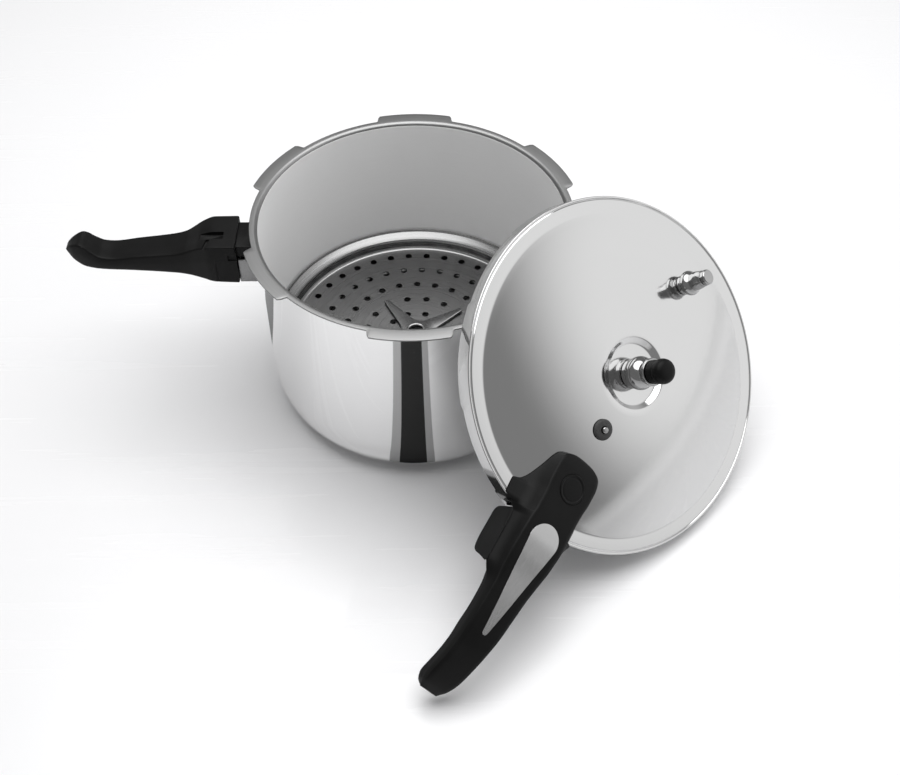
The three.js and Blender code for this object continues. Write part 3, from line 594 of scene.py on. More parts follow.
def flange_warp(radius, height, angle):
    start = POT_WALL + RIM_BEND
    share = min(max((radius - start) / (FLANGE_RADIUS - 1 - start), 0), 1)
    return radius + share * (LUG_RADIUS - FLANGE_RADIUS) * lug_share(angle), height


def pot_profile():
    wall = POT_WALL + SHEET
    bottom = BASE_THICKNESS + GAP
    bend = (POT_WALL + RIM_BEND, POT_HEIGHT - RIM_BEND)
    under = RIM_BEND - SHEET
    corner = (BASE_RADIUS, CORNER_HEIGHT)
    return [
        (0, bottom),
        *arc(corner, (wall - BASE_RADIUS, CORNER_HEIGHT - bottom), -90, 0, 24),
        *arc(bend, (under, under), 180, 90, 6),
        (FLANGE_RADIUS, POT_HEIGHT - SHEET, 0.4),
        (FLANGE_RADIUS, POT_HEIGHT, 0.4),
        *arc(bend, (RIM_BEND, RIM_BEND), 90, 180, 10),
        *arc(corner, (POT_WALL - BASE_RADIUS, CORNER_HEIGHT - bottom - SHEET), 0, -90, 24),
        (0, bottom + SHEET),
    ]


def pot_zone(middle, normal):
    """Polished outside, satin on the flange, brushed inside, dull under the plate and darkened there as painted
    shade.
    """
    radius = math.hypot(middle.x, middle.y)
    outward = (normal.x * middle.x + normal.y * middle.y) / max(radius, 1)
    if radius > POT_WALL + 0.2 and middle.z > POT_HEIGHT - RIM_BEND and normal.z > -0.3:
        return 2
    if outward > 0.25 or normal.z < -0.3:
        return 0
    # below the plate the inside takes the darker steel of painted shade
    return 1 if middle.z > PLATE_Z - 4 else 3


def make_pot():
    piece("pot_shell", turned(pot_profile(), warp=flange_warp), POT,
          [MIRROR, INSIDE, FLANGE, BOTTOM], pot_zone)
    disc = turned([
        (0, 0.5), (BASE_RADIUS - 30, 0.5, 0.6), (BASE_RADIUS - 31, 0, 0.6), (BASE_RADIUS, 0, 1.4),
        (BASE_RADIUS, BASE_THICKNESS, 1.4), (0, BASE_THICKNESS),
    ])
    piece("base_disc", disc, POT, [BASE])


# ---------- pot handle, along -X
BLOCK_END = 138           # distance of the block's end face from the pot's axis
BLOCK_TOP = 161.5
BLOCK_BOTTOM = 124.5
POT_HANDLE_TOP = [
    (BLOCK_END, BLOCK_TOP), (157, 161.2), (166, 159), (174, 154.8), (181, 151.2), (190, 149.3),
    (219, 146), (238, 143.6), (246, 144.6), (253, 149), (259, 154.6), (262, 155.6), (268, 153.5),
    (273, 150), (274.5, 147.4),
]
POT_HANDLE_BOTTOM = [
    (BLOCK_END, BLOCK_BOTTOM), (154, 125.4), (167, 127.3), (189, 129.3), (222, 131), (250, 132),
    (260, 133.2), (268, 137.5), (273, 143.5), (274.5, 146.6),
]
POT_HANDLE_HALF = [
    (BLOCK_END, 20), (158, 20), (167, 18), (177, 15.6), (190, 14.2), (220, 13), (246, 12.2),
    (259, 10.6), (268, 8), (274.5, 3.5),
]
END_ROUND = 1.2           # rounding of the block's end face
SCREW_AT = 150
SCREW_RADIUS = 2.4
SCREW_HEAD = 4.8
SCREW_TOP = 146
HEAD_WAY_TOP = BLOCK_BOTTOM + 4


def pot_handle_loop(distance):
    """Section of the handle: crisp upper edges, rounder below, softened at the block's end face."""
    top = along(POT_HANDLE_TOP, distance)[0]
    bottom = along(POT_HANDLE_BOTTOM, distance)[0]
    half = along(POT_HANDLE_HALF, distance)[0]
    end = max(0, END_ROUND - (distance - BLOCK_END))
    round_off = END_ROUND - math.sqrt(max(0, END_ROUND ** 2 - end ** 2))
    top, bottom, half = top - round_off, bottom + round_off, half - round_off
    depth = top - bottom
    grip = min(max((distance - 158) / 25, 0), 1)
    upper = min(1 + grip, 0.3 * half)
    lower = min(1.5 + 2 * grip, 0.4 * half)
    loop = filleted([
        (-half + 0.3, bottom, lower), (half - 0.3, bottom, lower),
        (half, top - 0.42 * depth, 2), (half - 0.8, top, upper),
        (0, top - min(0.4, 0.03 * depth), 4), (-half + 0.8, top, upper),
        (-half, top - 0.42 * depth, 2),
    ], loop=True, steps=6)
    return [(-distance, p.x, p.y) for p in loop]


def make_pot_handle():
    body = lofted([pot_handle_loop(d) for d in stations(BLOCK_END, POT_HANDLE_HALF[-1][0], 110)])
    wall = POT_WALL + SHEET + GAP
    guard = box(-BLOCK_END - 2, -wall + 4, -15, 15, 148, 158.5, edge=1.0)
    joined = combine(body, [guard], "UNION")
    socket = box(-160 - GAP, -BLOCK_END + 1, -12 - GAP, 12 + GAP, 134 - GAP, 137 + GAP)
    screw_way = moved(rod(SCREW_RADIUS + GAP, BLOCK_BOTTOM - 5, SCREW_TOP + 1), x=-SCREW_AT)
    head_way = moved(rod(SCREW_HEAD + GAP, BLOCK_BOTTOM - 5, HEAD_WAY_TOP), x=-SCREW_AT)
    latch_slot = box(-167.4, -148.3, -8.2, 0.2, BLOCK_TOP - 4, BLOCK_TOP + 3, edge=0.8)
    slant = moved(turn_to(box(-1.5, 1.5, -6.5, 8, BLOCK_TOP - 3, BLOCK_TOP + 3, edge=0.6), -13.4),
                  x=-162, y=-16.5)
    front_notch = box(-144.5, -137, -24, -18, 147.5, 154, edge=0.5)
    side_step = slab(filleted([
        (-155, 120, 1), (-136, 120, 1), (-136, 148, 1), (-155, 148, 2)], loop=True), -24, -19, 0.3, "y")
    handle = combine(joined, [socket, screw_way, head_way, latch_slot, slant, front_notch, side_step,
                              rod(wall, 100, 180, LARGE)])
    piece("pot_handle", handle, POT, [PHENOLIC])
    piece("pot_handle_bracket", softened("pot_handle_bracket", POT, 0.5), POT, [SATIN])
    face, head = BLOCK_BOTTOM + 1.2, HEAD_WAY_TOP - GAP
    screw = moved(combine(turned([
        (0, face), (SCREW_HEAD, face, 0.8), (SCREW_HEAD, head, 0.3),
        (SCREW_RADIUS, head), (SCREW_RADIUS, SCREW_TOP, 0.4), (0, SCREW_TOP),
    ], SMALL), cross_slot(SCREW_HEAD, face, -1)), x=-SCREW_AT)
    piece("pot_handle_screw", screw, POT, [SATIN])


def cross_slot(head, face, way):
    """Two bars that cut a cross into a screw head whose face is at a height; way is the head's side."""
    low, high = sorted((face + way, face - 1.4 * way))
    reach = 0.62 * head
    return [box(-reach, reach, -0.6, 0.6, low, high), box(-0.6, 0.6, -reach, reach, low, high)]


# ---------- steamer rack
def plate_shape():
    sheet = 1.0
    rim = [
        (PLATE_FIELD_RADIUS, 0, 1.2), (109.2, 2, 0.8), (110.2, 8, 1.4), (112.5, 9.8, 1.4), (117.4, 13, 0.8),
    ]
    low = [(r + 0.5 * sheet, PLATE_Z + rise, soft) for r, rise, soft in rim]
    high = [(r - 0.5 * sheet, PLATE_Z + sheet + rise, soft) for r, rise, soft in reversed(rim)]
    plate = turned([
        (6.2, PLATE_Z), *low, (PLATE_RIM_RADIUS, PLATE_Z + 15, 0.3),
        (PLATE_RIM_RADIUS - sheet, PLATE_Z + 15.4, 0.3), *high, (6.2, PLATE_Z + sheet),
    ], ring=True)
    drills = bmesh.new()
    for ring, (radius, count) in enumerate(HOLE_RINGS):
        for i in range(count):
            x, y = polar(radius, (i + 0.5 * (ring % 2)) * 360 / count)
            bmesh.ops.create_cone(
                drills, cap_ends=True, segments=28, radius1=HOLE_RADIUS, radius2=HOLE_RADIUS,
                depth=4, matrix=Matrix.Translation((x, y, PLATE_Z + 0.5)))
    return combine(plate, [drills])


def spider_shape():
    """Pressed cross of tapered ribs round the lifting eye, made as one flat layer lying on the plate."""
    low = PLATE_Z + 1 + GAP
    outline = []
    for i in range(SPIDER_ARMS):
        middle = SPIDER_FIRST + i * 360 / SPIDER_ARMS
        outline += [(*polar(radius, middle + turn), soft) for radius, turn, soft in SPIDER_ARM]
    star = slab(filleted(outline, loop=True, steps=6), low, low + 3 - GAP, 0.9)
    return combine(star, [rod(EYE_OUTER + GAP, low - 1, low + 4)])


def stand_shape():
    floor = BASE_THICKNESS + SHEET + 2 * GAP + WIRE
    height = PLATE_Z - GAP - WIRE
    ring = [Vector((*polar(STAND_RADIUS, 3 * i), height)) for i in range(120)]
    stand = tube(ring, WIRE, loop=True)
    route = [(STAND_RADIUS, -15, height), (88, -11, height - 15), (92, -7, floor + 5), (93, 0, floor),
             (92, 7, floor + 5), (88, 11, height - 15), (STAND_RADIUS, 15, height)]
    legs = []
    for i in range(3):
        middle = 90 + 120 * i
        legs.append(tube(smooth_line([(*polar(r, middle + a), z) for r, a, z in route]), WIRE))
    return combine(stand, legs, "UNION")


def rack_zone(middle, normal):
    """The field is dull; the rim that rises from it is brighter."""
    return 0 if math.hypot(middle.x, middle.y) < PLATE_FIELD_RADIUS - 0.8 else 1


def make_rack():
    low = PLATE_Z + 1 + GAP
    piece("steamer_plate", plate_shape(), POT, [RACK, RACK_RIM], rack_zone)
    piece("plate_spider", spider_shape(), POT, [RACK])
    eye = turned([
        (EYE_INNER, low, 0.3), (EYE_OUTER, low, 0.3), (EYE_OUTER, low + 4.2, 0.8), (7.2, low + 5, 0.8),
        (EYE_INNER, low + 4.2, 0.8),
    ], SMALL, ring=True)
    piece("plate_lift_ring", eye, POT, [CHROME])
    piece("plate_stand", stand_shape(), POT, [SATIN])


# ---------- lid
def skirt_warp(radius, height, angle):
    """Raises the skirt's lower edge where a lug is turned in."""
    deep = height < -SKIRT_LUG_DEPTH
    share = min(1, lug_share(angle) * 1.6)
    return radius, height + deep * share * (-SKIRT_LUG_DEPTH - height)


def lid_shape():
    bead = LID_RADIUS - 1.5
    inside = LID_RADIUS - SKIRT_SHEET
    rise = [DISH_RADIUS + 1 + (BAND_RADIUS - 6 - DISH_RADIUS) * i / 30 for i in range(31)]
    top = [
        (0, DISH_FLOOR), (DISH_FLOOR_RADIUS, DISH_FLOOR, 1.2), (DISH_RADIUS - 1.2, DISH_TOP - 0.2, 0.8),
        *[(r, dome_height(r)) for r in rise],
        (BAND_RADIUS, 0, 1.0), (bead - 1.6, 0, 0.3), (bead - 0.7, -0.7, 0.3), (bead + 0.1, 0, 0.3),
        (LID_RADIUS, 0, 0.7),
    ]
    skirt = [(LID_RADIUS, -SKIRT_DEPTH, 0.4), (inside, -SKIRT_DEPTH, 0.4)]
    under = [
        (inside, -LID_SHEET - 0.6, 0.6), (BAND_RADIUS - 0.5, -LID_SHEET - 0.2, 0.8),
        *[(r, dome_height(r) - LID_SHEET) for r in reversed(rise)],
        (DISH_RADIUS - 1, DISH_TOP - LID_SHEET - 0.4, 0.6),
        (DISH_FLOOR_RADIUS - 1, DISH_FLOOR - LID_SHEET, 1.0), (0, DISH_FLOOR - LID_SHEET),
    ]
    shell = turned([*top, *skirt, *under], warp=skirt_warp)
    lugs = []
    for i in range(LUG_COUNT):
        middle = LUG_FIRST + i * 360 / LUG_COUNT
        outline = [polar(LID_RADIUS - 0.6, middle - 13 + 26 * k / 12) for k in range(13)]
        outline += [polar(128, middle + 13 - 26 * k / 12) for k in range(13)]
        lugs.append(slab([Vector(p) for p in outline], -SKIRT_LUG_DEPTH, -SKIRT_LUG_DEPTH + 1.4, 0.3))
    to_lid = Matrix.Scale(1 / MM, 4) @ LID.inverted()
    bores = [rod(BORE, -5, 30)]
    for seat, bore in ((VALVE, BORE), (PLUG, PLUG_BORE)):
        drill = rod(bore, -8, 8)
        drill.transform(to_lid @ seat @ Matrix.Scale(MM, 4))
        bores.append(drill)
    return combine(combine(shell, lugs, "UNION"), bores)


def make_lid():
    piece("lid_shell", lid_shape(), LID, [DOME])
    high = -LID_SHEET - 0.6 - GAP
    ring = turned([
        (121.5, -7, 0.5), (132.1, -7, 0.6), (133.6, -5.5, 0.6), (133.6, high, 0.5), (122.5, high, 0.4),
        (122.5, high - 1.4, 0.4), (130.6, high - 1.4, 0.5), (130.6, -5.4, 0.5), (121.5, -5.4, 0.4),
    ], ring=True)
    piece("gasket", ring, LID, [GASKET_RUBBER])


# ---------- lid handle, along -X
LID_HANDLE_TOP = [
    (79, 15.8), (83, 17), (92, 18.2), (105, 18.5), (125, 18.5), (146, 17.8), (160, 16.3), (175, 14),
    (200, 10.8), (222, 7.3), (236, 3.6), (248, -1.2), (259, -7), (268, -13.5), (273.5, -20),
]
LID_HANDLE_SPLIT = [(133.5, 3.5), (139, 3.5), (180, 1.5), (205, -0.5), (225, -4), (245, -10.5),
                    (262, -19.5), (273.5, -22.7)]
LID_HANDLE_UNDER = [(139, -7), (190, -7), (207, -8.6), (224, -13), (242, -18), (257, -25), (265, -29.6),
                    (270, -28.6), (272.5, -25.5)]
# distance, half-width of the top, then how far the foot reaches on the +Y side and on the -Y side
LID_HANDLE_SECTIONS = [
    (79, 7, 9, 8.5), (80.6, 11.5, 15.5, 14.5), (83, 16, 23.5, 21.5), (86, 18.2, 27.5, 23.6),
    (95, 19.6, 30, 25.5), (105, 19.4, 32.6, 27.5), (115, 18.4, 35.2, 29.5), (118, 18.3, 39.6, 30),
    (129, 18, 38.8, 30.5), (134, 18.4, 32, 30), (139, 18.8, 26.6, 28), (147, 19, 25.8, 26),
    (163, 18.4, 25.6, 23.5), (176, 17, 25.4, 19.5), (191, 15.4, 16.8, 16.6), (205, 14.8, 15.6, 15.6),
    (222, 14.2, 14.8, 14.8), (236, 13.2, 13.8, 13.8), (248, 12.6, 13.2, 13.2), (259, 12.2, 12.8, 12.8),
    (268, 10.4, 11, 11), (273.5, 7, 7.6, 7.6),
]
LOWER_HALF = [(139, 20.6), (163, 20.2), (177, 18.6), (191, 16), (205, 14.8), (222, 13.8), (236, 12.6),
              (248, 12.4), (259, 12.2), (268, 10.4), (272.5, 7.4)]
CHEEK = [(-140, 4.4), (-136.2, 1, 2), (-136.2, -18, 3), (-138.5, -21, 3), (-162, -21.3, 4),
         (-170, -19.6, 6), (-173, -16, 4), (-176, -6, 8), (-179, 1, 2), (-179, 2.8)]
HANDLE_FRONT = LID_HANDLE_TOP[0][0]
HANDLE_TIP = LID_HANDLE_TOP[-1][0]
STEP_AT = LID_HANDLE_SPLIT[0][0]        # the foot steps up here, from the lid to the lower shell
LOWER_START = LOWER_HALF[0][0]
LOWER_END = LOWER_HALF[-1][0]
CAP_AT = 103.5            # plain round cap near the front of the handle
CAP_RADIUS = 11
CAP_THICKNESS = 1.6
CHEEK_SIDES = (21.4, 25.6)
FRONT_SCREW = 2.2         # radii of the screws, and of their heads
FRONT_HEAD = 4.4
FRONT_SUNK = 7.5          # depth of the front head's pocket below the top, under the cap
REAR_SCREW = 2
REAR_HEAD = 4
REAR_SUNK = 3.5
REAR_AT = 196
INLAY_ROUND = 147.5       # middle of the teardrop's round end
INLAY_RADIUS = 12.8
INLAY_TIP = 224.5
INLAY_TIP_RADIUS = 2.2
INLAY_THICKNESS = 1.2


def handle_top(distance):
    return along(LID_HANDLE_TOP, distance)[0]


def cover_loop(distance):
    """Section of the cover: flat foot, flanks that lean in, a creased shoulder and a crowned top."""
    top = handle_top(distance)
    top_half, left, right = along(LID_HANDLE_SECTIONS, distance)
    foot = -1 if distance < STEP_AT else along(LID_HANDLE_SPLIT, distance)[0]
    front = max(0, 2 - (distance - HANDLE_FRONT))
    shrink = 2 - math.sqrt(max(0, 4 - front ** 2))
    top, top_half, left, right = top - shrink, top_half - shrink, left - shrink, right - shrink
    depth = top - foot
    middle = foot + 0.42 * depth
    shoulder = min(1.1, depth / 4)

    def flank(reach, side):
        waist = top_half + 0.34 * (min(reach, 32) - top_half) + 0.6
        return [(side * reach, foot, 0.3), (side * reach, foot + 0.8, 0.6), (side * waist, middle, 5),
                (side * top_half, top - shoulder, 0.9), (side * (top_half - 2.4), top - 0.2 * shoulder, 1.6)]

    points = [*flank(left, 1), (0, top, 8), *reversed(flank(right, -1))]
    return [(-distance, p.x, p.y) for p in filleted(points, loop=True, steps=4)]


def teardrop_half(distance, margin):
    """Half-width of the inlay's plan at a distance."""
    lean = math.asin((INLAY_RADIUS - INLAY_TIP_RADIUS) / (INLAY_TIP - INLAY_TIP_RADIUS - INLAY_ROUND))
    radius, tip_radius = INLAY_RADIUS + margin, INLAY_TIP_RADIUS + margin
    tip = INLAY_TIP - INLAY_TIP_RADIUS
    flat_start = INLAY_ROUND + radius * math.sin(lean)
    flat_end = tip + tip_radius * math.sin(lean)
    if distance < flat_start:
        return math.sqrt(max(0, radius ** 2 - (distance - INLAY_ROUND) ** 2))
    if distance > flat_end:
        return math.sqrt(max(0, tip_radius ** 2 - (distance - tip) ** 2))
    return radius * math.cos(lean) - (distance - flat_start) * math.tan(lean)


def teardrop_layer(low, high, margin, edge):
    """Layer in the teardrop's plan that follows the top of the handle between two depths."""
    start, end = INLAY_ROUND - INLAY_RADIUS - margin, INLAY_TIP + margin
    loops = []
    for distance in stations(start + 0.02, end - 0.02, 80):
        half = teardrop_half(distance, margin)
        top = handle_top(distance)
        soft = min(edge, 0.5 * half)
        section = [
            (-half, top + low), (half, top + low), (half, top + high - soft),
            (half - soft, top + high), (-half + soft, top + high), (-half, top + high - soft),
        ]
        loops.append([(-distance, y, z) for y, z in section])
    return lofted(loops)


def lid_clearance():
    edge = LID_RADIUS + 0.8
    rise = [112, 98, 84, 70]
    return turned([
        (0, -60), (edge, -60), (edge, 2 * GAP), (BAND_RADIUS, 2 * GAP),
        *[(r, dome_height(r) + 2 * GAP) for r in rise], (60, dome_height(60)), (0, dome_height(60)),
    ], LARGE)


def cover_shape():
    round_lip = [116.5 + 0.5 * i for i in range(42)]
    parts = [*stations(HANDLE_FRONT, 116, 36), *round_lip, *stations(138, HANDLE_TIP, 110)]
    apart = {round(d, 3) for d in parts if abs(d - STEP_AT) > 0.2}
    distances = sorted(apart | {STEP_AT - 0.05, STEP_AT + 0.05})
    body = lofted([cover_loop(d) for d in distances])
    cheek = slab(filleted(CHEEK, loop=True, steps=6), *CHEEK_SIDES, 0.7, "y")
    body = combine(body, [cheek], "UNION")
    crown = handle_top(CAP_AT)
    bracket_way = box(-173, -95, -11.3, 11.3, -2, 8)
    return combine(body, [
        lid_clearance(),
        bracket_way,
        teardrop_layer(-INLAY_THICKNESS - GAP, 6, GAP, 0),
        moved(rod(CAP_RADIUS + GAP, crown - CAP_THICKNESS, crown + 5), x=-CAP_AT),
        moved(rod(FRONT_HEAD + GAP, crown - FRONT_SUNK, crown + 1), x=-CAP_AT),
        moved(rod(FRONT_SCREW + GAP, 0, crown), x=-CAP_AT),
        moved(rod(REAR_SCREW + GAP, -20, 7), x=-REAR_AT),
    ])


def lower_loop(distance):
    top = along(LID_HANDLE_SPLIT, distance)[0] - GAP
    bottom = along(LID_HANDLE_UNDER, distance)[0]
    half = along(LOWER_HALF, distance)[0]
    end = max(0, 1 - (distance - LOWER_START))
    shrink = 1 - math.sqrt(max(0, 1 - end ** 2))
    top, bottom, half = top - 0.2 * shrink, bottom + shrink, half - shrink
    soft = min(4, 0.45 * (top - bottom), 0.5 * half)
    points = [(-half + 1, bottom, soft), (half - 1, bottom, soft), (half, top, 0.4), (-half, top, 0.4)]
    return [(-distance, p.x, p.y) for p in filleted(points, loop=True, steps=5)]


def make_lid_handle():
    piece("lid_handle_cover", cover_shape(), LID, [PHENOLIC])
    under = along(LID_HANDLE_UNDER, REAR_AT)[0]
    lower = combine(lofted([lower_loop(d) for d in stations(LOWER_START, LOWER_END, 90)]), [
        moved(rod(REAR_SCREW + GAP, -30, 10), x=-REAR_AT),
        moved(rod(REAR_HEAD + GAP, -30, under + REAR_SUNK), x=-REAR_AT),
    ])
    piece("lid_handle_lower", lower, LID, [PHENOLIC])
    inlay = teardrop_layer(-INLAY_THICKNESS, 0, 0, 0.06)
    piece("lid_handle_inlay", inlay, LID, [INLAY_STEEL])
    low = handle_top(CAP_AT) - CAP_THICKNESS + GAP
    high = low + CAP_THICKNESS
    cap = turned([
        (0, low), (CAP_RADIUS, low), (CAP_RADIUS, high, 0.5), (CAP_RADIUS - 1.3, high, 0.4),
        (CAP_RADIUS - 1.9, low + 1.1, 0.4), (CAP_RADIUS - 2.6, low + 1.1, 0.4),
        (CAP_RADIUS - 3.4, low + 1.3, 1), (0, low + 1.5),
    ], SMALL)
    piece("lid_handle_medallion", moved(cap, x=-CAP_AT), LID, [PHENOLIC])
    bracket = softened("lid_handle_bracket", LID, 0.4)
    piece("lid_handle_bracket", bracket, LID, [SATIN])
    make_lid_screws(under)


def make_lid_screws(under):
    seat = handle_top(CAP_AT) - FRONT_SUNK + GAP
    foot = dome_height(CAP_AT) + 2 * GAP
    front = combine(turned([
        (0, foot), (FRONT_SCREW, foot, 0.3), (FRONT_SCREW, seat), (FRONT_HEAD, seat, 0.2),
        (FRONT_HEAD, seat + 3, 0.8), (0, seat + 3),
    ], SMALL), cross_slot(FRONT_HEAD, seat + 3, 1))
    piece("lid_handle_front_screw", moved(front, x=-CAP_AT), LID, [SATIN])
    seat = under + REAR_SUNK - GAP
    face = seat - 2.6
    rear = combine(turned([
        (0, face), (REAR_HEAD, face, 0.8), (REAR_HEAD, seat, 0.2), (REAR_SCREW, seat), (REAR_SCREW, 5, 0.3),
        (0, 5),
    ], SMALL), cross_slot(REAR_HEAD, face, -1))
    piece("lid_handle_rear_screw", moved(rear, x=-REAR_AT), LID, [SATIN])


# ---------- vent pipe and regulator weight
PIPE_FLANGE = 2.8
PIPE_TOP = DISH_FLOOR + 16
WEIGHT_FOOT = DISH_FLOOR + 2 * GAP
WEIGHT_SEAT = WEIGHT_FOOT + PIPE_FLANGE


def make_regulator():
    base, under = DISH_FLOOR + GAP, DISH_FLOOR - LID_SHEET - 8
    pipe = turned([
        (1.2, under, 0.3), (5, under, 0.6), (5, base), (9, base, 0.3), (9, base + PIPE_FLANGE, 0.6),
        (3.4, base + PIPE_FLANGE, 0.3), (3.2, PIPE_TOP - 1, 0.4), (2.4, PIPE_TOP, 0.3), (1.2, PIPE_TOP, 0.3),
    ], SMALL, ring=True)
    piece("vent_pipe", pipe, LID, [SATIN])
    nut = moved(hex_nut(17, BORE, -3.6, 0), z=DISH_FLOOR - LID_SHEET - GAP)
    piece("vent_nut", nut, LID, [SATIN])
    z = WEIGHT_FOOT
    weight = turned([
        (0, PIPE_TOP + 1), (3.8, PIPE_TOP + 1, 0.4), (3.8, WEIGHT_SEAT, 0.3), (9.4, WEIGHT_SEAT, 0.3),
        (9.4, z, 0.3), (10.8, z, 0.5), (11.4, z + 1, 0.5), (11.2, z + 3.2, 0.5),
        *arc((0, z + 9.4), (12.7, 10.4), -28, 48, 24),
        (8.4, z + 18.4, 0.9), (8.4, z + 20.6, 0.9), (10.2, z + 21.6, 0.5), (10.6, z + 23, 0.6),
        (10.2, z + 24.5, 0.6), (3, z + 24.5, 0.2), (3, z + 33, 0.4), (0, z + 33),
    ], SMALL)
    piece("regulator_weight", weight, LID, [CHROME])
    knob = turned([
        (0, z + 33.6), (3.4, z + 33.6), (3.4, z + 24.8), (8.8, z + 24.8, 0.5), (9, z + 26, 0.8),
        (8.8, z + 30.4, 0.8), (8.6, z + 31.4, 0.8), (9.4, z + 32.6, 0.8), (9.5, z + 35.6, 1.5),
        (8.6, z + 38.4, 1.6), (6.2, z + 40, 1.6), (3, z + 40.5, 1), (0, z + 40.6),
    ], SMALL)
    piece("regulator_knob", knob, LID, [PHENOLIC])


# ---------- safety valve and safety plug
VALVE_TOP = 22


def make_safety_valve():
    body = turned([
        (2.2, -8, 0.2), (5, -8, 0.5), (5, GAP), (7.2, GAP, 0.3), (7.8, 1.4, 0.3),
        *arc((0, 7.6), (9.7, 6.4), -40, 42, 20),
        (7.3, 15, 1.5), (6.4, 20, 0.8), (6.2, VALVE_TOP, 0.4), (2.4, VALVE_TOP, 0.2), (2.4, VALVE_TOP - 3),
        (4.9, VALVE_TOP - 3), (4.9, 5), (2.2, 5),
    ], SMALL, ring=True)
    piece("safety_valve_body", body, VALVE, [CHROME])
    nut = hex_nut(15, BORE, -4.4, -LID_SHEET - GAP - 0.2)
    piece("safety_valve_nut", nut, VALVE, [SATIN])
    stem = turned([
        (0, -6), (1.9, -6, 0.4), (1.9, 5.4), (4.4, 5.4, 0.2), (4.4, 7.2, 0.2), (2, 7.2),
        (2, VALVE_TOP + GAP), (6, VALVE_TOP + GAP, 0.4), (6, VALVE_TOP + 3.6, 0.6),
        (5.3, VALVE_TOP + 4.4, 0.5), (0, VALVE_TOP + 4.4),
    ], SMALL)
    piece("safety_valve_stem", stem, VALVE, [CHROME])
    low, high, turns, steps = 8.1, VALVE_TOP - 6.4, 3, 90
    coil = [Vector((*polar(3.4, 360 * turns * i / steps), low + (high - low) * i / steps))
            for i in range(steps + 1)]
    piece("safety_valve_spring", tube(coil, 0.55, 10), VALVE, [SATIN])


def make_safety_plug():
    under = -LID_SHEET - GAP - 2.4
    neck = PLUG_BORE - GAP
    grommet = turned([
        (2.8, under, 0.3), (7.2, under, 0.6), (7.8, -LID_SHEET - GAP - 0.4, 0.3), (7.8, -LID_SHEET - GAP),
        (neck, -LID_SHEET - GAP), (neck, GAP), (8, GAP, 0.2), (8, 1.2, 0.6), (6.6, 2.2, 0.8), (2.8, 2.6, 0.4),
    ], SMALL, ring=True)
    piece("safety_plug_grommet", grommet, PLUG, [GASKET_RUBBER])
    foot = under - 4.3
    pin = turned([
        (0, foot - 1.6), (4.4, foot - 1.6, 0.5), (4.4, foot, 0.3), (2.4, foot), (2.4, 4.2, 0.5),
        (1.8, 4.8, 0.4), (0, 4.8),
    ], SMALL)
    piece("indicator_pin", pin, PLUG, [CHROME])


make_pot()
make_pot_handle()
make_rack()
make_lid()
make_lid_handle()
make_regulator()
make_safety_valve()
make_safety_plug()


# ---------- floor, light and camera
CAMERA_PLACE = (0.0284, -0.7734, 0.8345)
CAMERA_DOWN = 47.94       # degrees below the horizon
CAMERA_ROLL = -0.33       # degrees
CAMERA_LENS = 51.93       # millimetres, on a sensor 36 wide
KEY_PLACE = (0.1, 0.22, 1.5)
KEY_SIZE = 1.8
KEY_POWER = 26
SIDE_LIGHT_WAY = Vector((0.94, 0.13, 0.31))     # the broad soft light that the lid reflects
SIDE_LIGHT = 0.85         # how much brighter that light is than the room
ROOM = 0.3                # brightness of the room
SIDE_LIGHT_EDGE = 46      # degrees from its middle where the soft light has faded out
SIDE_LIGHT_FULL = 14      # and where it is at its brightest
FLOOR_REACH = 40          # half-width of the floor, in metres
FLOOR_DROP = 0.0002       # metres between the object's lowest face and the floor
LIT_MIDDLE = (0.02, 0.16, 0)    # middle of the floor that the lamp lights, in metres
LIT_REACH = 0.8           # metres from there to where the lamp's light falls off
FAR_REACH = 1.4
FAR_FLOOR_GLOW = 0.25          # painted glow: emission added to the floor from there on, standing in for lamp light that doesn't reach so far
CARD_START = 114          # distances of a card's ends from the pot's axis
CARD_END = 300
# cards on the floor round the pot: degrees of the middle, half-width in degrees, brightness
CARDS = [(30, 3, 0.45), (75, 8, 0.2), (122, 3, 0.45), (158, 9, 0.25), (268.5, 10, 0.4), (269, 6, 0.01)]
CARD_THICKNESS = 0.1


def make_floor():
    shape = bmesh.new()
    bmesh.ops.create_grid(shape, x_segments=1, y_segments=1, size=FLOOR_REACH)
    pale = Surface("pale_floor_painted_glow", 0.9, 0, 0.25)
    pale.vary_roughness(pale.noise(pale.coordinates((3, 60, 1)), 1, 4), 0.2, 0.3)
    pale.shader.inputs["Emission Color"].default_value = (1, 1, 1, 1)
    # painted light: the floor glows more with distance from LIT_MIDDLE, so the far floor looks as lit as the near
    # floor
    pale.drive("Emission Strength", pale.fade(LIT_MIDDLE, LIT_REACH, FAR_REACH, FAR_FLOOR_GLOW))
    floor = as_object("floor", shape, [pale.material])
    floor.location.z = -FLOOR_DROP


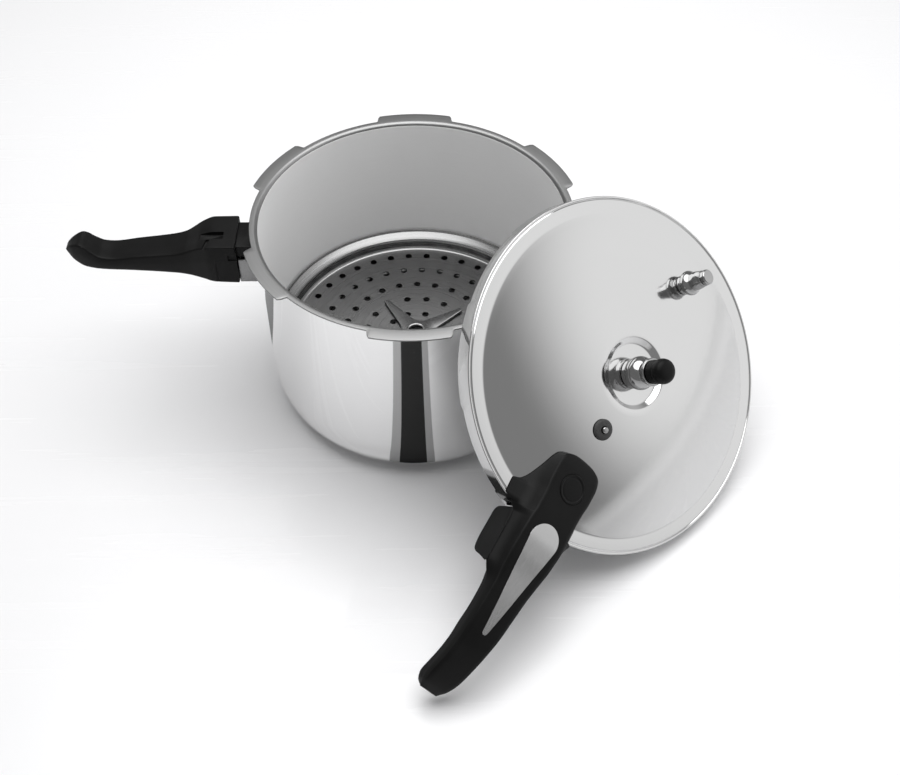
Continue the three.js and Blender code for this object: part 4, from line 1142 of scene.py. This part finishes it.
def make_cards():
    """Dark and grey cards round the pot, seen only in reflections, as bands in its polished wall."""
    for i, (middle, half, shade) in enumerate(CARDS):
        corners = [polar(CARD_START, middle - half), polar(CARD_END, middle - half),
                   polar(CARD_END, middle + half), polar(CARD_START, middle + half)]
        low = CARD_THICKNESS * (1 + 2 * i)
        shape = slab([Vector(corner) for corner in corners], low, low + CARD_THICKNESS)
        shape.transform(Matrix.Scale(MM, 4))
        name = f"card_{i + 1}"
        card = as_object(name, shape, [Surface(name, shade, 0, 0.8).material])
        card.visible_camera = False
        card.visible_diffuse = False
        card.visible_shadow = False


def make_world():
    """A dim grey room with one broad soft light low on the right."""
    world = bpy.data.worlds.new("room")
    world.use_nodes = True
    bpy.context.scene.world = world
    tree = world.node_tree
    facing = add_node(tree, "VectorMath", {
        0: add_node(tree, "TexCoord", {})["Generated"], 1: SIDE_LIGHT_WAY.normalized(),
    }, operation="DOT_PRODUCT")
    edge = add_node(tree, "MapRange", {
        "Value": facing["Value"],
        "From Min": math.cos(math.radians(SIDE_LIGHT_EDGE)),
        "From Max": math.cos(math.radians(SIDE_LIGHT_FULL)),
        "To Min": ROOM,
        "To Max": ROOM + SIDE_LIGHT,
    }, interpolation_type="SMOOTHSTEP")
    tree.nodes["Background"].inputs["Color"].default_value = (1, 1, 1, 1)
    tree.links.new(edge["Result"], tree.nodes["Background"].inputs["Strength"])


def make_key_light():
    light = bpy.data.lights.new("key", "AREA")
    light.shape = "DISK"
    light.size = KEY_SIZE
    light.energy = KEY_POWER
    in_scene("key", light).location = KEY_PLACE


def make_camera():
    camera = bpy.data.cameras.new("camera")
    camera.lens = CAMERA_LENS
    camera.clip_start = 0.02
    eye = in_scene("camera", camera)
    look = Matrix.Rotation(math.radians(90 - CAMERA_DOWN), 4, "X")
    roll = Matrix.Rotation(math.radians(CAMERA_ROLL), 4, "Z")
    eye.matrix_world = Matrix.Translation(CAMERA_PLACE) @ look @ roll
    bpy.context.scene.camera = eye


make_floor()
make_cards()
make_world()
make_key_light()
make_camera()
bpy.context.scene.view_settings.view_transform = "Standard"
